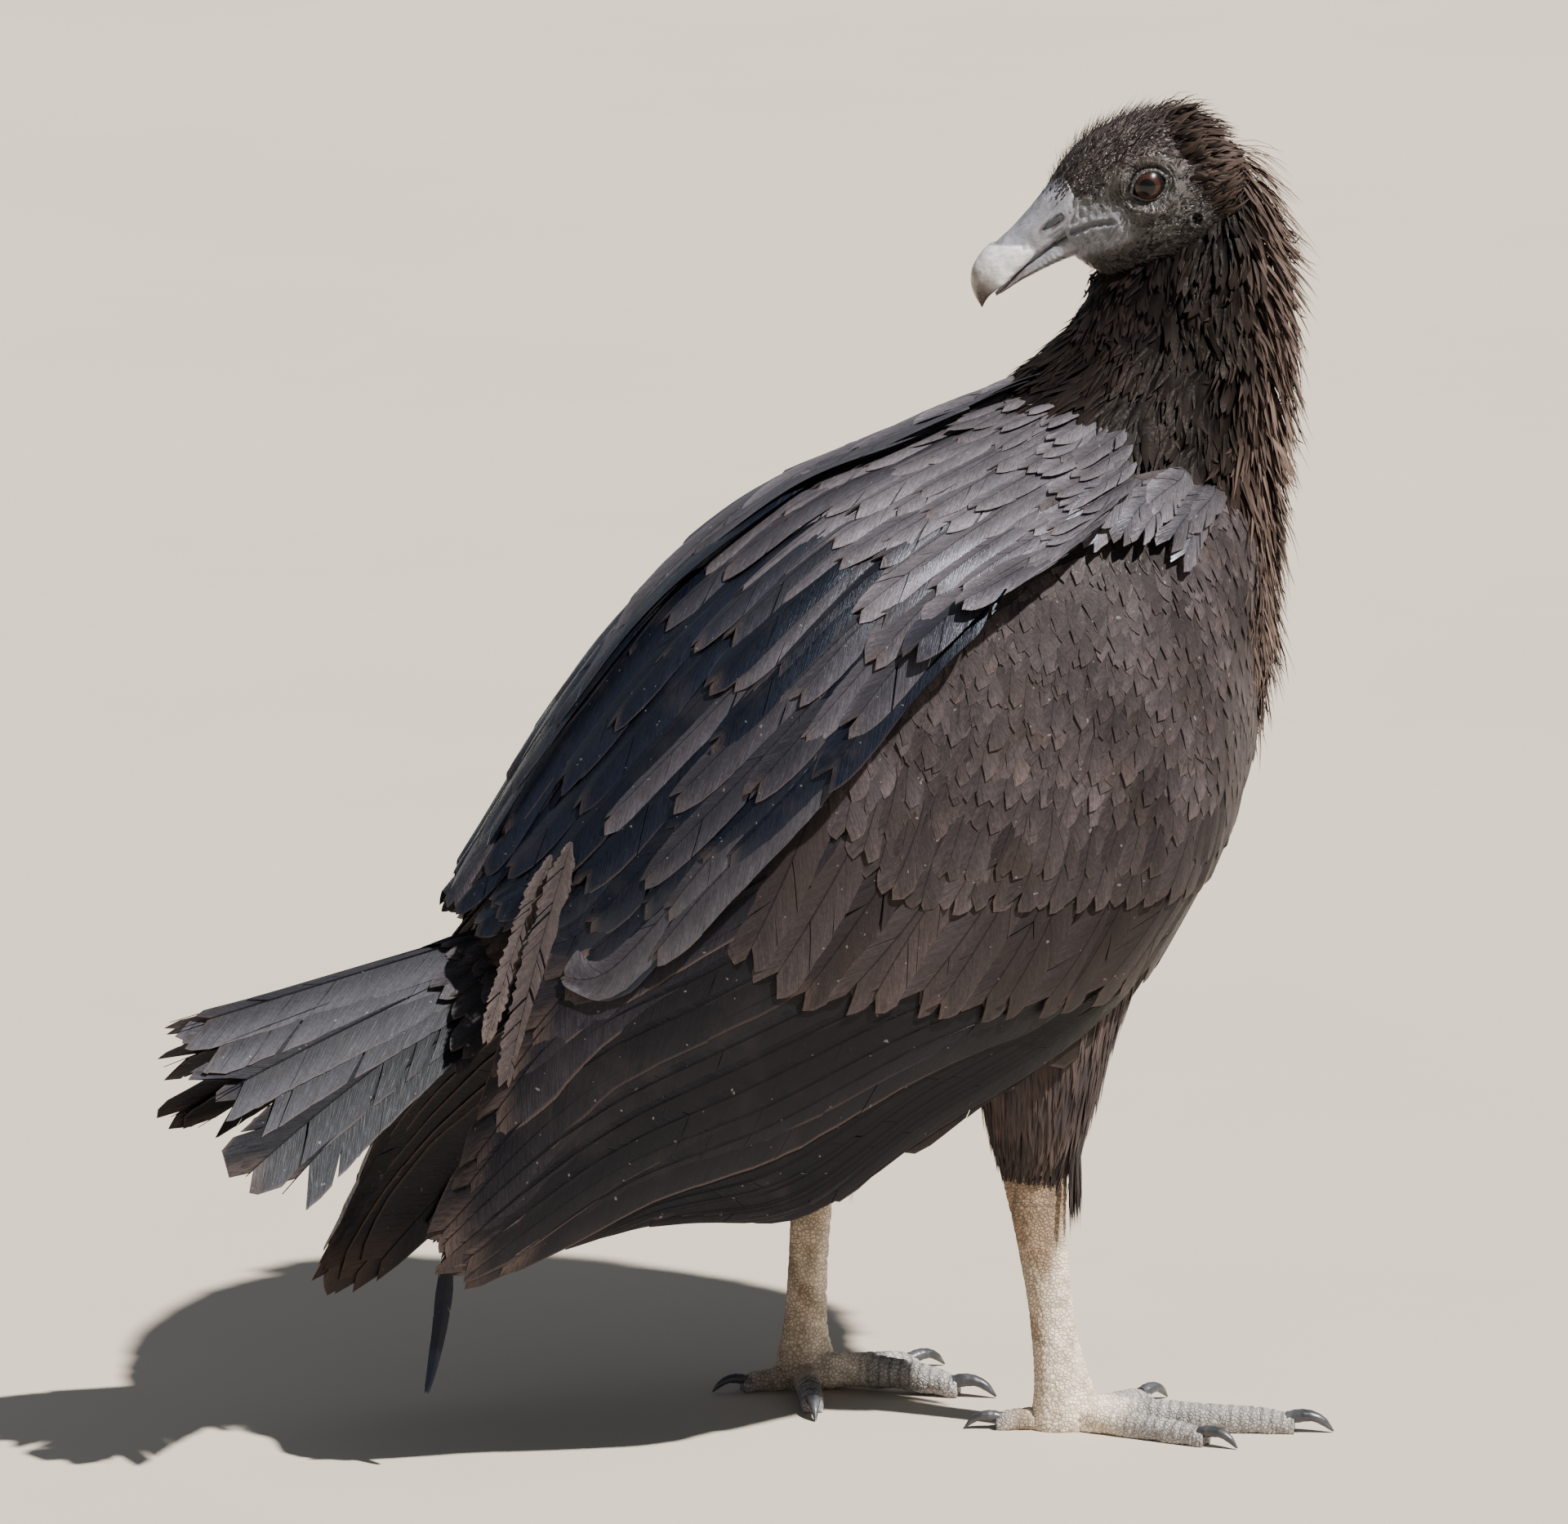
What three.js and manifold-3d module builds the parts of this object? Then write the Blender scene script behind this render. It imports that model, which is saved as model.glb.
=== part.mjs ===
// A black vulture, life size: a still model of a bird that stands on both feet, with its body
// facing +X, its wings hanging half folded and its head turned back over its shoulder.
// Millimetres, +Z up, +Y the bird's left. The floor is z = 0, and the origin is the middle of the
// bird's bounding box, on the floor.
//
// Every fleshy part is a loft between two rails, its upper and lower outlines, in one upright plane.
// Wings and shoulder feathers are shells on a small grid of points. manifold-3d parts them
// with thin gaps.

import * as THREE from "three";
import { mergeVertices } from "three/addons/utils/BufferGeometryUtils.js";
import Module from "manifold-3d";

const wasm = await Module();
wasm.setup();

// ---------------------------------------------------------------- driving sizes
const GAP = 0.35; // between neighbouring pieces
const SLIT = 0.5; // between the parts of one wing
const COVERTS_END = 0.6; // where a wing's coverts end, as a share of its length
const SECONDARIES_END = 0.58; // where its secondaries end, as a share of its width

const HEAD_AT = [163.3, -4, 446.6]; // middle of the skull
const HEAD_YAW = 14; // degrees from straight back, towards the bird's left
const HEAD_TILT = 22; // degrees the bill points down
const EYE_FORWARD = 3.2;
const EYE_UP = 4.6;
const EYE_OUT = 16.4; // from the skull's middle plane to the eye's centre
const EYE_R = 6.4;
const SOCKET_R = 9;
const SOCKET_OUT = 27.6;
const NOSTRIL = { at: [40.2, 6.2], length: 11.5, height: 3.4, slope: 36 };
const EAR = { at: [-9.9, -12.6], out: 22.5, radii: [2.6, 4.5, 3.6] };

const TAIL_FEATHERS_A_SIDE = 6;
const TAIL_FEATHER_DEPTH = 2.8; // shaft and all
// Feather outlines: [share of length, half width].
const TAIL_FEATHER_OUTLINE = [[0, 8], [0.3, 10], [0.65, 12.5], [0.92, 11.5], [1, 6]];
const LOOSE_FEATHER_DEPTH = 1.6;
const LOOSE_FEATHER_OUTLINE = [[0, 2], [0.35, 4.6], [0.7, 4.8], [1, 0.8]];
const LOOSE_FEATHER_ROOT = [-121, -44, 84];
const LOOSE_FEATHER_TIP = [-127, -40, 30];

const WING_EDGE_THICK = 3; // at the feather tips
const WING_ROOT_THICK = 36; // more than that at the shoulder, to reach the trunk
const SHOULDER_EDGE_THICK = 2.5;
const SHOULDER_ROOT_THICK = 20;

// ---------------------------------------------------------------- outlines
// Body rows from the tail root to the back of the skull:
// [upper x, upper z, lower x, lower z, half width].
const BODY_ROWS = [
  [-98, 182, -92, 166, 10],
  [-84, 208, -72, 150, 32],
  [-55, 247, -35, 140, 50],
  [-20, 289, 15, 134, 63],
  [20, 324, 75, 138, 72],
  [52, 343, 130, 160, 75],
  [78, 356, 174, 204, 72],
  [98, 367, 199, 258, 64],
  [114, 381, 205, 308, 52],
  [128, 393, 209, 345, 41],
  [136, 403, 214, 380, 34],
  [142, 415, 213, 412, 30],
  [152, 428, 207, 438, 26],
  [163, 440, 202, 454, 20],
  [172, 451, 194, 464, 12],
];
const NECK_STARTS = 8 / 14; // the row where the trunk ends, as a share of the rows

// Head and bill rows in the head's own plane:
// [upper forward, upper up, lower forward, lower up, half width].
const HEAD_ROWS = [
  [-27, 4, -27, -6, 5],
  [-23, 17, -23, -17, 14],
  [-16, 25.5, -16, -24, 19.5],
  [-8, 29.5, -8, -28.5, 22],
  [2, 31.2, 2, -31, 22],
  [11, 31, 11, -31, 20.3],
  [19, 29.3, 19, -28.8, 17.6],
  [26, 26.3, 26, -24, 14.8],
  [32, 22.3, 32, -18, 12],
  [38, 17.4, 37, -11, 9.4],
];
const UPPER_BILL_ROWS = [
  [30, 22.5, 29, -1.2, 11],
  [38, 17.4, 36, -1.6, 9.8],
  [46, 12.9, 44, -3.2, 8.4],
  [54, 9, 52, -4.6, 7.4],
  [61, 6.3, 59.5, -6.6, 7],
  [67.5, 4.4, 65.5, -9.2, 7.2],
  [73.2, 0.6, 68.8, -10.2, 6],
  [75.9, -4.5, 70.6, -11, 4.2],
  [76.3, -9.5, 72.6, -12.2, 2.6],
  [75.6, -14, 75.2, -14.5, 0.5],
];
const LOWER_BILL_ROWS = [
  [30, -2.2, 30, -10.5, 9],
  [41, -3.4, 41, -9.5, 7.8],
  [50, -5.2, 50, -9.9, 6.7],
  [58, -7, 58, -10.6, 5.6],
  [65, -9.8, 65, -11.8, 4.2],
  [69, -11.4, 69, -12.6, 2.2],
];

// Legs. Thigh and shank rows are [front x, front z, back x, back z, half width], in the plane y.
// A toe has its turn (degrees from +X, towards +Y), its length to the claw, its height and half width
// at the root, how far its middle arches off the floor, and its claw's scale.
const RIGHT_LEG = {
  y: -48,
  thigh: [
    [150, 200, 70, 190, 28],
    [144, 180, 72, 160, 28],
    [131, 145, 80, 130, 24],
    [122, 114, 86, 104, 16],
    [115, 96, 89, 96, 9.5],
  ],
  shank: [
    [112, 103, 93, 104, 6],
    [113.5, 93, 89.8, 95, 7.6],
    [113.5, 76, 93.5, 78, 6.4],
    [115.6, 50.5, 98.7, 51.8, 5.8],
    [119, 30, 101, 33, 6.2],
    [124, 15, 102, 17, 8.2],
    [128, 3, 101, 3, 9.5],
    [127, -1, 102, -1, 9],
  ],
  foot: [115, -49, 0],
  toes: [
    { digit: 3, turn: -23, length: 82, height: 12.5, half: 6, arch: 0, claw: 1 },
    { digit: 4, turn: -47, length: 56, height: 10.5, half: 5.4, arch: 0, claw: 0.9 },
    { digit: 2, turn: 32, length: 44, height: 10, half: 5, arch: 0, claw: 0.9 },
    { digit: 1, turn: 166, length: 27, height: 9.5, half: 5, arch: 0, claw: 0.8 },
  ],
};
const LEFT_LEG = {
  y: 40,
  thigh: [
    [92, 190, 16, 180, 28],
    [84, 165, 20, 150, 26],
    [74, 132, 26, 122, 21],
    [64, 108, 31, 102, 15],
    [57, 92, 33, 93, 9.5],
  ],
  shank: [
    [57, 100, 36, 101, 6],
    [56, 88, 34, 90, 7.6],
    [53, 70, 37, 71, 6.2],
    [51, 45, 36.5, 46, 5.8],
    [51, 22, 34.5, 24, 6.4],
    [54, 10, 32, 11, 8.4],
    [55, 3, 31, 3, 9.2],
    [54, -1, 32, -1, 8.8],
  ],
  foot: [42, 38, 0],
  toes: [
    { digit: 3, turn: -32, length: 58, height: 12.5, half: 6, arch: 3, claw: 1 },
    { digit: 4, turn: 14, length: 48, height: 10.5, half: 5.4, arch: 1, claw: 0.9 },
    { digit: 2, turn: -104, length: 40, height: 10, half: 5, arch: 1, claw: 0.9 },
    { digit: 1, turn: 178, length: 24, height: 9.5, half: 5, arch: 0, claw: 0.8 },
  ],
};
// A toe's taper: [share of length, share of height].
const TOE_TAPER = [[0, 1], [0.3, 0.92], [0.6, 0.78], [0.85, 0.7], [1, 0.5]];
const TOE_SOLE = -1.2; // the sole is cut flat at the floor
// A claw from the end of its toe: [upper forward, upper up, lower forward, lower up, half width].
const CLAW_ROWS = [
  [-3, 7.6, -3, 2.4, 2.8],
  [2, 8.6, 2, 3.4, 2.9],
  [7, 8, 6.5, 3.9, 2.4],
  [11.5, 5.4, 10, 2.6, 1.6],
  [14.5, 0.9, 14, 0.4, 0.5],
];

// Wing grid, right side: rows from the leading edge to the tips, each from the top edge down.
const WING_GRID = [
  [[158, -52, 350], [184, -48, 330], [193, -40, 284], [184, -46, 236], [158, -56, 198]],
  [[108, -72, 344], [134, -87, 306], [150, -92, 256], [150, -88, 212], [136, -72, 172]],
  [[62, -84, 316], [78, -98, 270], [92, -102, 227], [98, -98, 187], [98, -86, 153]],
  [[10, -84, 272], [20, -96, 232], [30, -100, 198], [40, -98, 164], [48, -88, 130]],
  [[-38, -72, 222], [-34, -82, 190], [-26, -86, 162], [-14, -86, 131], [0, -84, 102]],
  [[-83, -56, 176], [-80, -64, 152], [-74, -70, 128], [-64, -74, 108], [-50, -76, 96]],
  [[-122, -44, 104], [-130, -49, 86], [-132, -52, 74], [-116, -56, 68], [-98, -60, 76]],
];
// The left wing hangs lower and reaches further back towards its tips.
const LEFT_WING_SLIP = [-14, 0, -31];
// Shoulder feathers, right side: rows from the neck to the rump, each from the back's middle outwards.
const SHOULDER_GRID = [
  [[112, 0, 379], [118, -30, 372], [120, -54, 360], [112, -76, 347], [97, -90, 336]],
  [[65, 0, 361], [70, -38, 354], [74, -66, 343], [72, -84, 331], [66, -96, 320]],
  [[20, 0, 343], [25, -44, 335], [31, -74, 321], [36, -90, 307], [36, -98, 296]],
  [[-25, 0, 309], [-18, -44, 301], [-9, -74, 288], [-2, -90, 270], [-1, -97, 252]],
  [[-59, 0, 269], [-53, -38, 262], [-46, -62, 249], [-39, -78, 230], [-34, -86, 216]],
  [[-88, 0, 226], [-84, -28, 221], [-78, -48, 210], [-71, -62, 194], [-64, -72, 180]],
  [[-104, 0, 201], [-103, -14, 199], [-99, -28, 195], [-93, -40, 190], [-84, -54, 183]],
];

// ---------------------------------------------------------------- numbers
const radians = (degrees) => (degrees * Math.PI) / 180;
const mirrored = ([x, y, z]) => [x, -y, z];

// The rows at a share t of their length: a Catmull-Rom curve through every column.
function between(rows, t) {
  const last = rows.length - 1;
  const place = Math.min(Math.max(t, 0), 1) * last;
  const i = Math.min(Math.floor(place), last - 1);
  const f = place - i;
  const b = rows[i];
  const c = rows[i + 1];
  const a = rows[i - 1] ?? b.map((v, k) => 2 * v - c[k]);
  const d = rows[i + 2] ?? c.map((v, k) => 2 * v - b[k]);
  return b.map((v, k) => {
    const bend = 2 * a[k] - 5 * v + 4 * c[k] - d[k] + f * (3 * (v - c[k]) + d[k] - a[k]);
    return v + 0.5 * f * (c[k] - a[k] + f * bend);
  });
}

// A point of a grid of points at shares a (along its rows) and b (along each row).
function onGrid(grid, a, b) {
  const row = between(grid.map((points) => points.flat()), a);
  const points = grid[0].map((_, k) => row.slice(3 * k, 3 * k + 3));
  return new THREE.Vector3(...between(points, b));
}

// ---------------------------------------------------------------- solids
// A manifold-3d solid from a closed three.js geometry.
function solidOf(geometry) {
  const plain = geometry.index ? geometry.toNonIndexed() : geometry.clone();
  for (const name of Object.keys(plain.attributes)) {
    if (name !== "position") plain.deleteAttribute(name);
  }
  const merged = mergeVertices(plain, 1e-4);
  return new wasm.Manifold(
    new wasm.Mesh({
      numProp: 3,
      vertProperties: new Float32Array(merged.attributes.position.array),
      triVerts: new Uint32Array(merged.index.array),
    }),
  );
}

// The largest single body of a solid, so that a cut leaves no crumbs.
function largest(solid) {
  return solid.decompose().sort((a, b) => b.volume() - a.volume())[0];
}

// A closed geometry from rings of points. Each ring joins the next. Both ends close on their middle,
// or for a flat ring, which runs out along one face and back along the other, by a strip between them.
function skinOf(rings, flat) {
  const sides = rings[0].length;
  const points = rings.flat();
  const index = [];
  const quad = (a, b, c, d) => index.push(a, b, d, b, c, d);
  for (let i = 0; i + 1 < rings.length; i++) {
    for (let j = 0; j < sides; j++) {
      const p = i * sides + j;
      const q = i * sides + ((j + 1) % sides);
      quad(p, q, q + sides, p + sides);
    }
  }
  const far = (rings.length - 1) * sides;
  if (flat) {
    for (let j = 0; j < sides / 2 - 1; j++) {
      quad(sides - 1 - j, sides - 2 - j, j + 1, j);
      quad(far + j, far + j + 1, far + sides - 2 - j, far + sides - 1 - j);
    }
  } else {
    const middle = (ring) => ring.reduce((sum, p) => sum.add(p), new THREE.Vector3()).divideScalar(sides);
    points.push(middle(rings[0]), middle(rings.at(-1)));
    const [first, last] = [points.length - 2, points.length - 1];
    for (let j = 0; j < sides; j++) {
      const next = (j + 1) % sides;
      index.push(first, next, j, last, far + j, far + next);
    }
  }
  const geometry = new THREE.BufferGeometry().setFromPoints(points);
  geometry.setIndex(index);
  return geometry;
}

// The solid inside rings, whichever way round they were made.
function closed(rings, flat = false) {
  const solid = solidOf(skinOf(rings, flat));
  return solid.volume() > 0 ? solid : solidOf(skinOf(rings.map((ring) => [...ring].reverse()), flat));
}

// An upright plane in which rails are drawn: where it starts, and its forward, up and side directions.
function plane(at, forward = [1, 0, 0], up = [0, 0, 1]) {
  const f = new THREE.Vector3(...forward).normalize();
  const side = new THREE.Vector3(...up).cross(f).normalize();
  return { at: new THREE.Vector3(...at), f, u: f.clone().cross(side), side };
}

function inPlane(frame, forward, up, out = 0) {
  const { at, f, u, side } = frame;
  return at.clone().addScaledVector(f, forward).addScaledVector(u, up).addScaledVector(side, out);
}

// A loft between two rails. Each section is an ellipse whose ends touch the rails. grow makes it fatter
// by that many millimetres, to cut its neighbours with. floor keeps it from reaching below z = 0.
function loft(rows, frame, { steps, sides, from = 0, to = 1, grow = 0, floor = false }) {
  const rings = [];
  for (let i = 0; i < steps; i++) {
    const [topF, topU, lowF, lowU, half] = between(rows, from + ((to - from) * i) / (steps - 1));
    const top = inPlane(frame, topF, topU);
    const low = inPlane(frame, lowF, lowU);
    const centre = top.clone().add(low).multiplyScalar(0.5);
    const arm = top.sub(low).multiplyScalar(0.5);
    arm.setLength(arm.length() + grow);
    rings.push(
      Array.from({ length: sides }, (_, j) => {
        const turn = (2 * Math.PI * (j + 0.5)) / sides;
        const point = centre
          .clone()
          .addScaledVector(arm, Math.cos(turn))
          .addScaledVector(frame.side, Math.sin(turn) * (half + grow));
        if (floor) point.z = Math.max(point.z, 0);
        return point;
      }),
    );
  }
  if (grow) {
    for (const [ring, next] of [[rings[0], rings[1]], [rings.at(-1), rings.at(-2)]]) {
      const far = ring[sides >> 1];
      const across = ring[sides >> 2].clone().sub(far);
      const push = ring[0].clone().sub(far).cross(across).setLength(grow);
      if (push.dot(next[0].clone().sub(ring[0])) > 0) push.negate();
      ring.forEach((point) => point.add(push));
    }
  }
  return closed(rings);
}

// A solid under a grid of points. Its outer face follows the grid; its inner face lies below that by
// thick(a, b), either along the normal or, where inward is given, straight that way. outward is +1 or -1
// for the side the normals face, and edge(b) cuts the far end back to shape its outline.
function shell(grid, { from = 0, to = 1, rows, columns, thick, outward, inward = null, edge = () => 0 }) {
  const step = 1e-3;
  const rings = [];
  for (let i = 0; i < rows; i++) {
    const outer = [];
    const inner = [];
    for (let j = 0; j < columns; j++) {
      const b = j / (columns - 1);
      const a = from + ((to - edge(b) - from) * i) / (rows - 1);
      const at = onGrid(grid, a, b);
      const alongA = onGrid(grid, a + step, b).sub(onGrid(grid, a - step, b));
      const alongB = onGrid(grid, a, b + step).sub(onGrid(grid, a, b - step));
      const down = inward ?? alongA.cross(alongB).normalize().multiplyScalar(-outward);
      outer.push(at);
      inner.push(at.clone().addScaledVector(down, thick(a, b)));
    }
    rings.push([...outer, ...inner.reverse()]);
  }
  return closed(rings, true);
}

function ball(centre, radii, turn = [0, 0, 0], segments = 12) {
  const geometry = new THREE.SphereGeometry(1, segments, segments / 2);
  geometry.applyMatrix4(
    new THREE.Matrix4().compose(
      centre,
      new THREE.Quaternion().setFromEuler(new THREE.Euler(...turn)),
      new THREE.Vector3(...radii),
    ),
  );
  return solidOf(geometry);
}

// Everything on one side of the bird, less half a gap. sign is +1 for its left and -1 for its right.
function halfSpace(sign) {
  return solidOf(new THREE.BoxGeometry(600, 300, 600).translate(0, sign * (150 + GAP / 2), 200));
}

// ---------------------------------------------------------------- nodes
const finishes = {
  plumage: new THREE.MeshStandardMaterial({ color: 0x2b2725, roughness: 0.75 }),
  remiges: new THREE.MeshStandardMaterial({ color: 0x24242a, roughness: 0.55 }),
  face: new THREE.MeshStandardMaterial({ color: 0x35302e, roughness: 0.7 }),
  bill: new THREE.MeshStandardMaterial({ color: 0x77777c, roughness: 0.4 }),
  leg: new THREE.MeshStandardMaterial({ color: 0xb9a78f, roughness: 0.8 }),
  claw: new THREE.MeshStandardMaterial({ color: 0x4a4a50, roughness: 0.45 }),
  eye: new THREE.MeshStandardMaterial({ color: 0x3a1e14, roughness: 0.1 }),
};
const bird = new THREE.Group();

function add(name, solid, finish) {
  const mesh = largest(solid).getMesh();
  const geometry = new THREE.BufferGeometry();
  geometry.setAttribute("position", new THREE.BufferAttribute(new Float32Array(mesh.vertProperties), 3));
  geometry.setIndex(new THREE.BufferAttribute(mesh.triVerts, 1));
  const node = new THREE.Mesh(geometry, finishes[finish]);
  node.name = name;
  bird.add(node);
}

// ---------------------------------------------------------------- trunk and neck
// Two lengths of one loft, and fatter copies to cut their neighbours with.
const midline = plane([0, 0, 0]);
const seam = GAP / 260; // half the gap between them, as a share of the loft

function trunkSolid(grow = 0) {
  return loft(BODY_ROWS, midline, { steps: 12, sides: 18, to: NECK_STARTS - seam, grow });
}

function neckSolid(grow = 0) {
  return loft(BODY_ROWS, midline, { steps: 10, sides: 18, from: NECK_STARTS + seam, grow });
}

const bodyCutter = trunkSolid(GAP).add(neckSolid(GAP));

function makeBody() {
  add("trunk", trunkSolid(), "plumage");
  add("neck", neckSolid(), "plumage");
}

// ---------------------------------------------------------------- head
const yaw = radians(HEAD_YAW);
const tilt = radians(HEAD_TILT);
const headForward = [-Math.cos(yaw) * Math.cos(tilt), Math.sin(yaw) * Math.cos(tilt), -Math.sin(tilt)];
const headPlane = plane(HEAD_AT, headForward);

function skullSolid(grow = 0) {
  return loft(HEAD_ROWS, headPlane, { steps: 12, sides: 14, grow });
}

// The skull with a shallow socket round each eye, and its ears.
function makeHead() {
  let head = skullSolid().subtract(bodyCutter);
  for (const [side, sign] of [["left", 1], ["right", -1]]) {
    const eye = inPlane(headPlane, EYE_FORWARD, EYE_UP, sign * EYE_OUT);
    const socket = inPlane(headPlane, EYE_FORWARD, EYE_UP, sign * SOCKET_OUT);
    const ear = inPlane(headPlane, ...EAR.at, sign * EAR.out);
    head = head
      .subtract(ball(socket, [SOCKET_R, SOCKET_R, SOCKET_R]))
      .subtract(ball(eye, [EYE_R + GAP, EYE_R + GAP, EYE_R + GAP]))
      .subtract(ball(ear, EAR.radii));
    add("eye_" + side, ball(eye, [EYE_R, EYE_R, EYE_R]), "eye");
  }
  add("head", head, "face");
}

// The bill in two halves, with the nostril right through the upper one.
function makeBill() {
  const bill = { steps: 10, sides: 10 };
  const skullCutter = skullSolid(GAP);
  const at = inPlane(headPlane, ...NOSTRIL.at);
  const nostril = ball(at, [NOSTRIL.length / 2, 20, NOSTRIL.height / 2], [0, radians(NOSTRIL.slope), -yaw]);
  const upper = loft(UPPER_BILL_ROWS, headPlane, bill);
  const upperCutter = loft(UPPER_BILL_ROWS, headPlane, { ...bill, grow: GAP });
  const lower = loft(LOWER_BILL_ROWS, headPlane, { steps: 6, sides: 8 });
  add("bill_upper", upper.subtract(skullCutter).subtract(nostril), "bill");
  add("bill_lower", lower.subtract(skullCutter).subtract(upperCutter), "bill");
}

// ---------------------------------------------------------------- wings and shoulders
// The right wing's grid, or the left one's: its mirror image, hanging lower towards the tips.
function wingGrid(sign) {
  if (sign < 0) return WING_GRID;
  const last = WING_GRID.length - 1;
  const slip = (point, share) => point.map((v, k) => v + LEFT_WING_SLIP[k] * share ** 2);
  return WING_GRID.map((row, i) => row.map((point) => slip(mirrored(point), i / last)));
}

// A wing is thick enough at the shoulder to reach the trunk, and thins towards its front and lower
// edges and to feather thickness at its tips.
function wingThick(a, b) {
  const fromFront = 0.1 + 6 * a;
  const fromTips = Math.max(0, 1 - a / 0.66);
  return WING_EDGE_THICK + WING_ROOT_THICK * Math.min(fromFront, fromTips) * (1 - 0.8 * b * b);
}

// Cuts the far end back between feathers, count of them across the width.
function scallops(count, depth) {
  return (b) => depth * (1 - Math.abs(Math.sin(Math.PI * count * b)));
}

function wingSolid(sign) {
  const inward = new THREE.Vector3(0, -sign, 0);
  const size = { rows: 12, columns: 11, thick: wingThick, outward: -sign, inward, edge: scallops(5, 0.03) };
  return shell(wingGrid(sign), size);
}

// A thin wall that crosses a wing from one place on its grid to another, [a, b] each.
function wall(grid, [a0, b0], [a1, b1]) {
  const across = new THREE.Vector3(0, 70, 0);
  const corners = [[1, 1], [-1, 1], [-1, -1], [1, -1]];
  const at = (t) => onGrid(grid, a0 + (a1 - a0) * t, b0 + (b1 - b0) * t);
  const rings = [-0.08, 0.1, 0.3, 0.5, 0.7, 0.9, 1.08].map((t) => {
    const here = at(t);
    const aside = at(t + 0.01).sub(here).cross(across).setLength(SLIT / 2);
    return corners.map(([u, v]) => here.clone().addScaledVector(aside, u).addScaledVector(across, v));
  });
  return closed(rings);
}

function distanceTo(point, solid) {
  const { min, max } = solid.boundingBox();
  return new THREE.Vector3(...min).add(new THREE.Vector3(...max)).multiplyScalar(0.5).distanceTo(point);
}

// One wing, parted by two walls into coverts, secondaries and primaries.
function makeWing(side, sign) {
  const grid = wingGrid(sign);
  const pieces = wingSolid(sign)
    .subtract(wall(grid, [COVERTS_END, 0], [COVERTS_END, 1]))
    .subtract(wall(grid, [COVERTS_END, SECONDARIES_END], [1, SECONDARIES_END]))
    .decompose();
  for (const [part, finish, a, b] of [
    ["coverts", "plumage", 0.3, 0.5],
    ["secondaries", "remiges", 0.8, 0.28],
    ["primaries", "remiges", 0.8, 0.8],
  ]) {
    const middle = onGrid(grid, a, b);
    const [piece] = pieces.sort((p, q) => distanceTo(middle, p) - distanceTo(middle, q));
    add("wing_" + side + "_" + part, piece.subtract(bodyCutter), finish);
  }
}

// A wing with a copy pushed a gap outwards or inwards, to cut what lies over it or under it.
function wingCutter(sign, way) {
  const wing = wingSolid(sign);
  return wing.add(wing.translate([way * GAP * 1.2, sign * way * GAP * 1.2, way * GAP * 1.2]));
}

// The long shoulder feathers of one side, from the back's middle out over the wing.
function makeShoulder(side, sign) {
  const grid = sign < 0 ? SHOULDER_GRID : SHOULDER_GRID.map((row) => row.map(mirrored));
  const thick = (a) => SHOULDER_EDGE_THICK + SHOULDER_ROOT_THICK * Math.max(0, 1 - a / 0.9);
  const solid = shell(grid, { rows: 10, columns: 8, thick, outward: -sign, edge: scallops(2, 0.03) });
  const own = solid.intersect(halfSpace(sign));
  add("shoulder_" + side, own.subtract(bodyCutter).subtract(wingCutter(sign, 1)), "plumage");
}

// ---------------------------------------------------------------- tail and loose feather
// A flat feather from root to tip, with its upper face turned towards up.
function blade(root, tip, up, outline, depth, steps) {
  const way = tip.clone().sub(root);
  const long = way.length();
  const rows = outline.map(([share, half]) => [share * long, depth / 2, share * long, -depth / 2, half]);
  return loft(rows, plane(root.toArray(), way.toArray(), up), { steps, sides: 6 });
}

// Half of the tail: feathers fanned outwards and roofed downwards, joined into one.
function makeTail(side, sign) {
  const feathers = Array.from({ length: TAIL_FEATHERS_A_SIDE }, (_, i) => {
    const f = (i + 0.5) / TAIL_FEATHERS_A_SIDE;
    const root = new THREE.Vector3(-84 - 6 * f, sign * (2 + 20 * f), 190 - 22 * f);
    const tip = new THREE.Vector3(-212.6 + 20 * f ** 2, sign * (6 + 58 * f), 162 - 62 * f ** 1.2);
    const slant = radians(16 + 34 * f);
    const up = [0, sign * Math.sin(slant), Math.cos(slant)];
    return blade(root, tip, up, TAIL_FEATHER_OUTLINE, TAIL_FEATHER_DEPTH, 4);
  });
  const tail = feathers.reduce((sum, feather) => sum.add(feather)).intersect(halfSpace(sign));
  add("tail_" + side, tail.subtract(bodyCutter).subtract(wingCutter(sign, -1)), "remiges");
}

// One flight feather that hangs straight down from the right wing's tip.
function makeLooseFeather() {
  const [root, tip] = [LOOSE_FEATHER_ROOT, LOOSE_FEATHER_TIP].map((point) => new THREE.Vector3(...point));
  const feather = blade(root, tip, [0, 1, 0], LOOSE_FEATHER_OUTLINE, LOOSE_FEATHER_DEPTH, 6);
  add("feather_loose", feather.subtract(wingCutter(-1, -1)).subtract(wingCutter(-1, 1)), "remiges");
}

// ---------------------------------------------------------------- legs
function makeLeg(side, sign, { y, thigh, shank, foot, toes }) {
  const upright = plane([0, y, 0]);
  const shankSize = { steps: 8, sides: 10, floor: true };
  const shankCutter = loft(shank, upright, { ...shankSize, grow: GAP });
  const above = bodyCutter.add(wingCutter(sign, -1));
  const thighSolid = loft(thigh, upright, { steps: 6, sides: 12 });
  add("thigh_" + side, thighSolid.subtract(above).subtract(shankCutter), "plumage");
  add("shank_" + side, loft(shank, upright, shankSize), "leg");
  let cutter = shankCutter;
  for (const toe of toes) {
    cutter = cutter.add(makeToe(side, toe, foot, cutter));
  }
}

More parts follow.
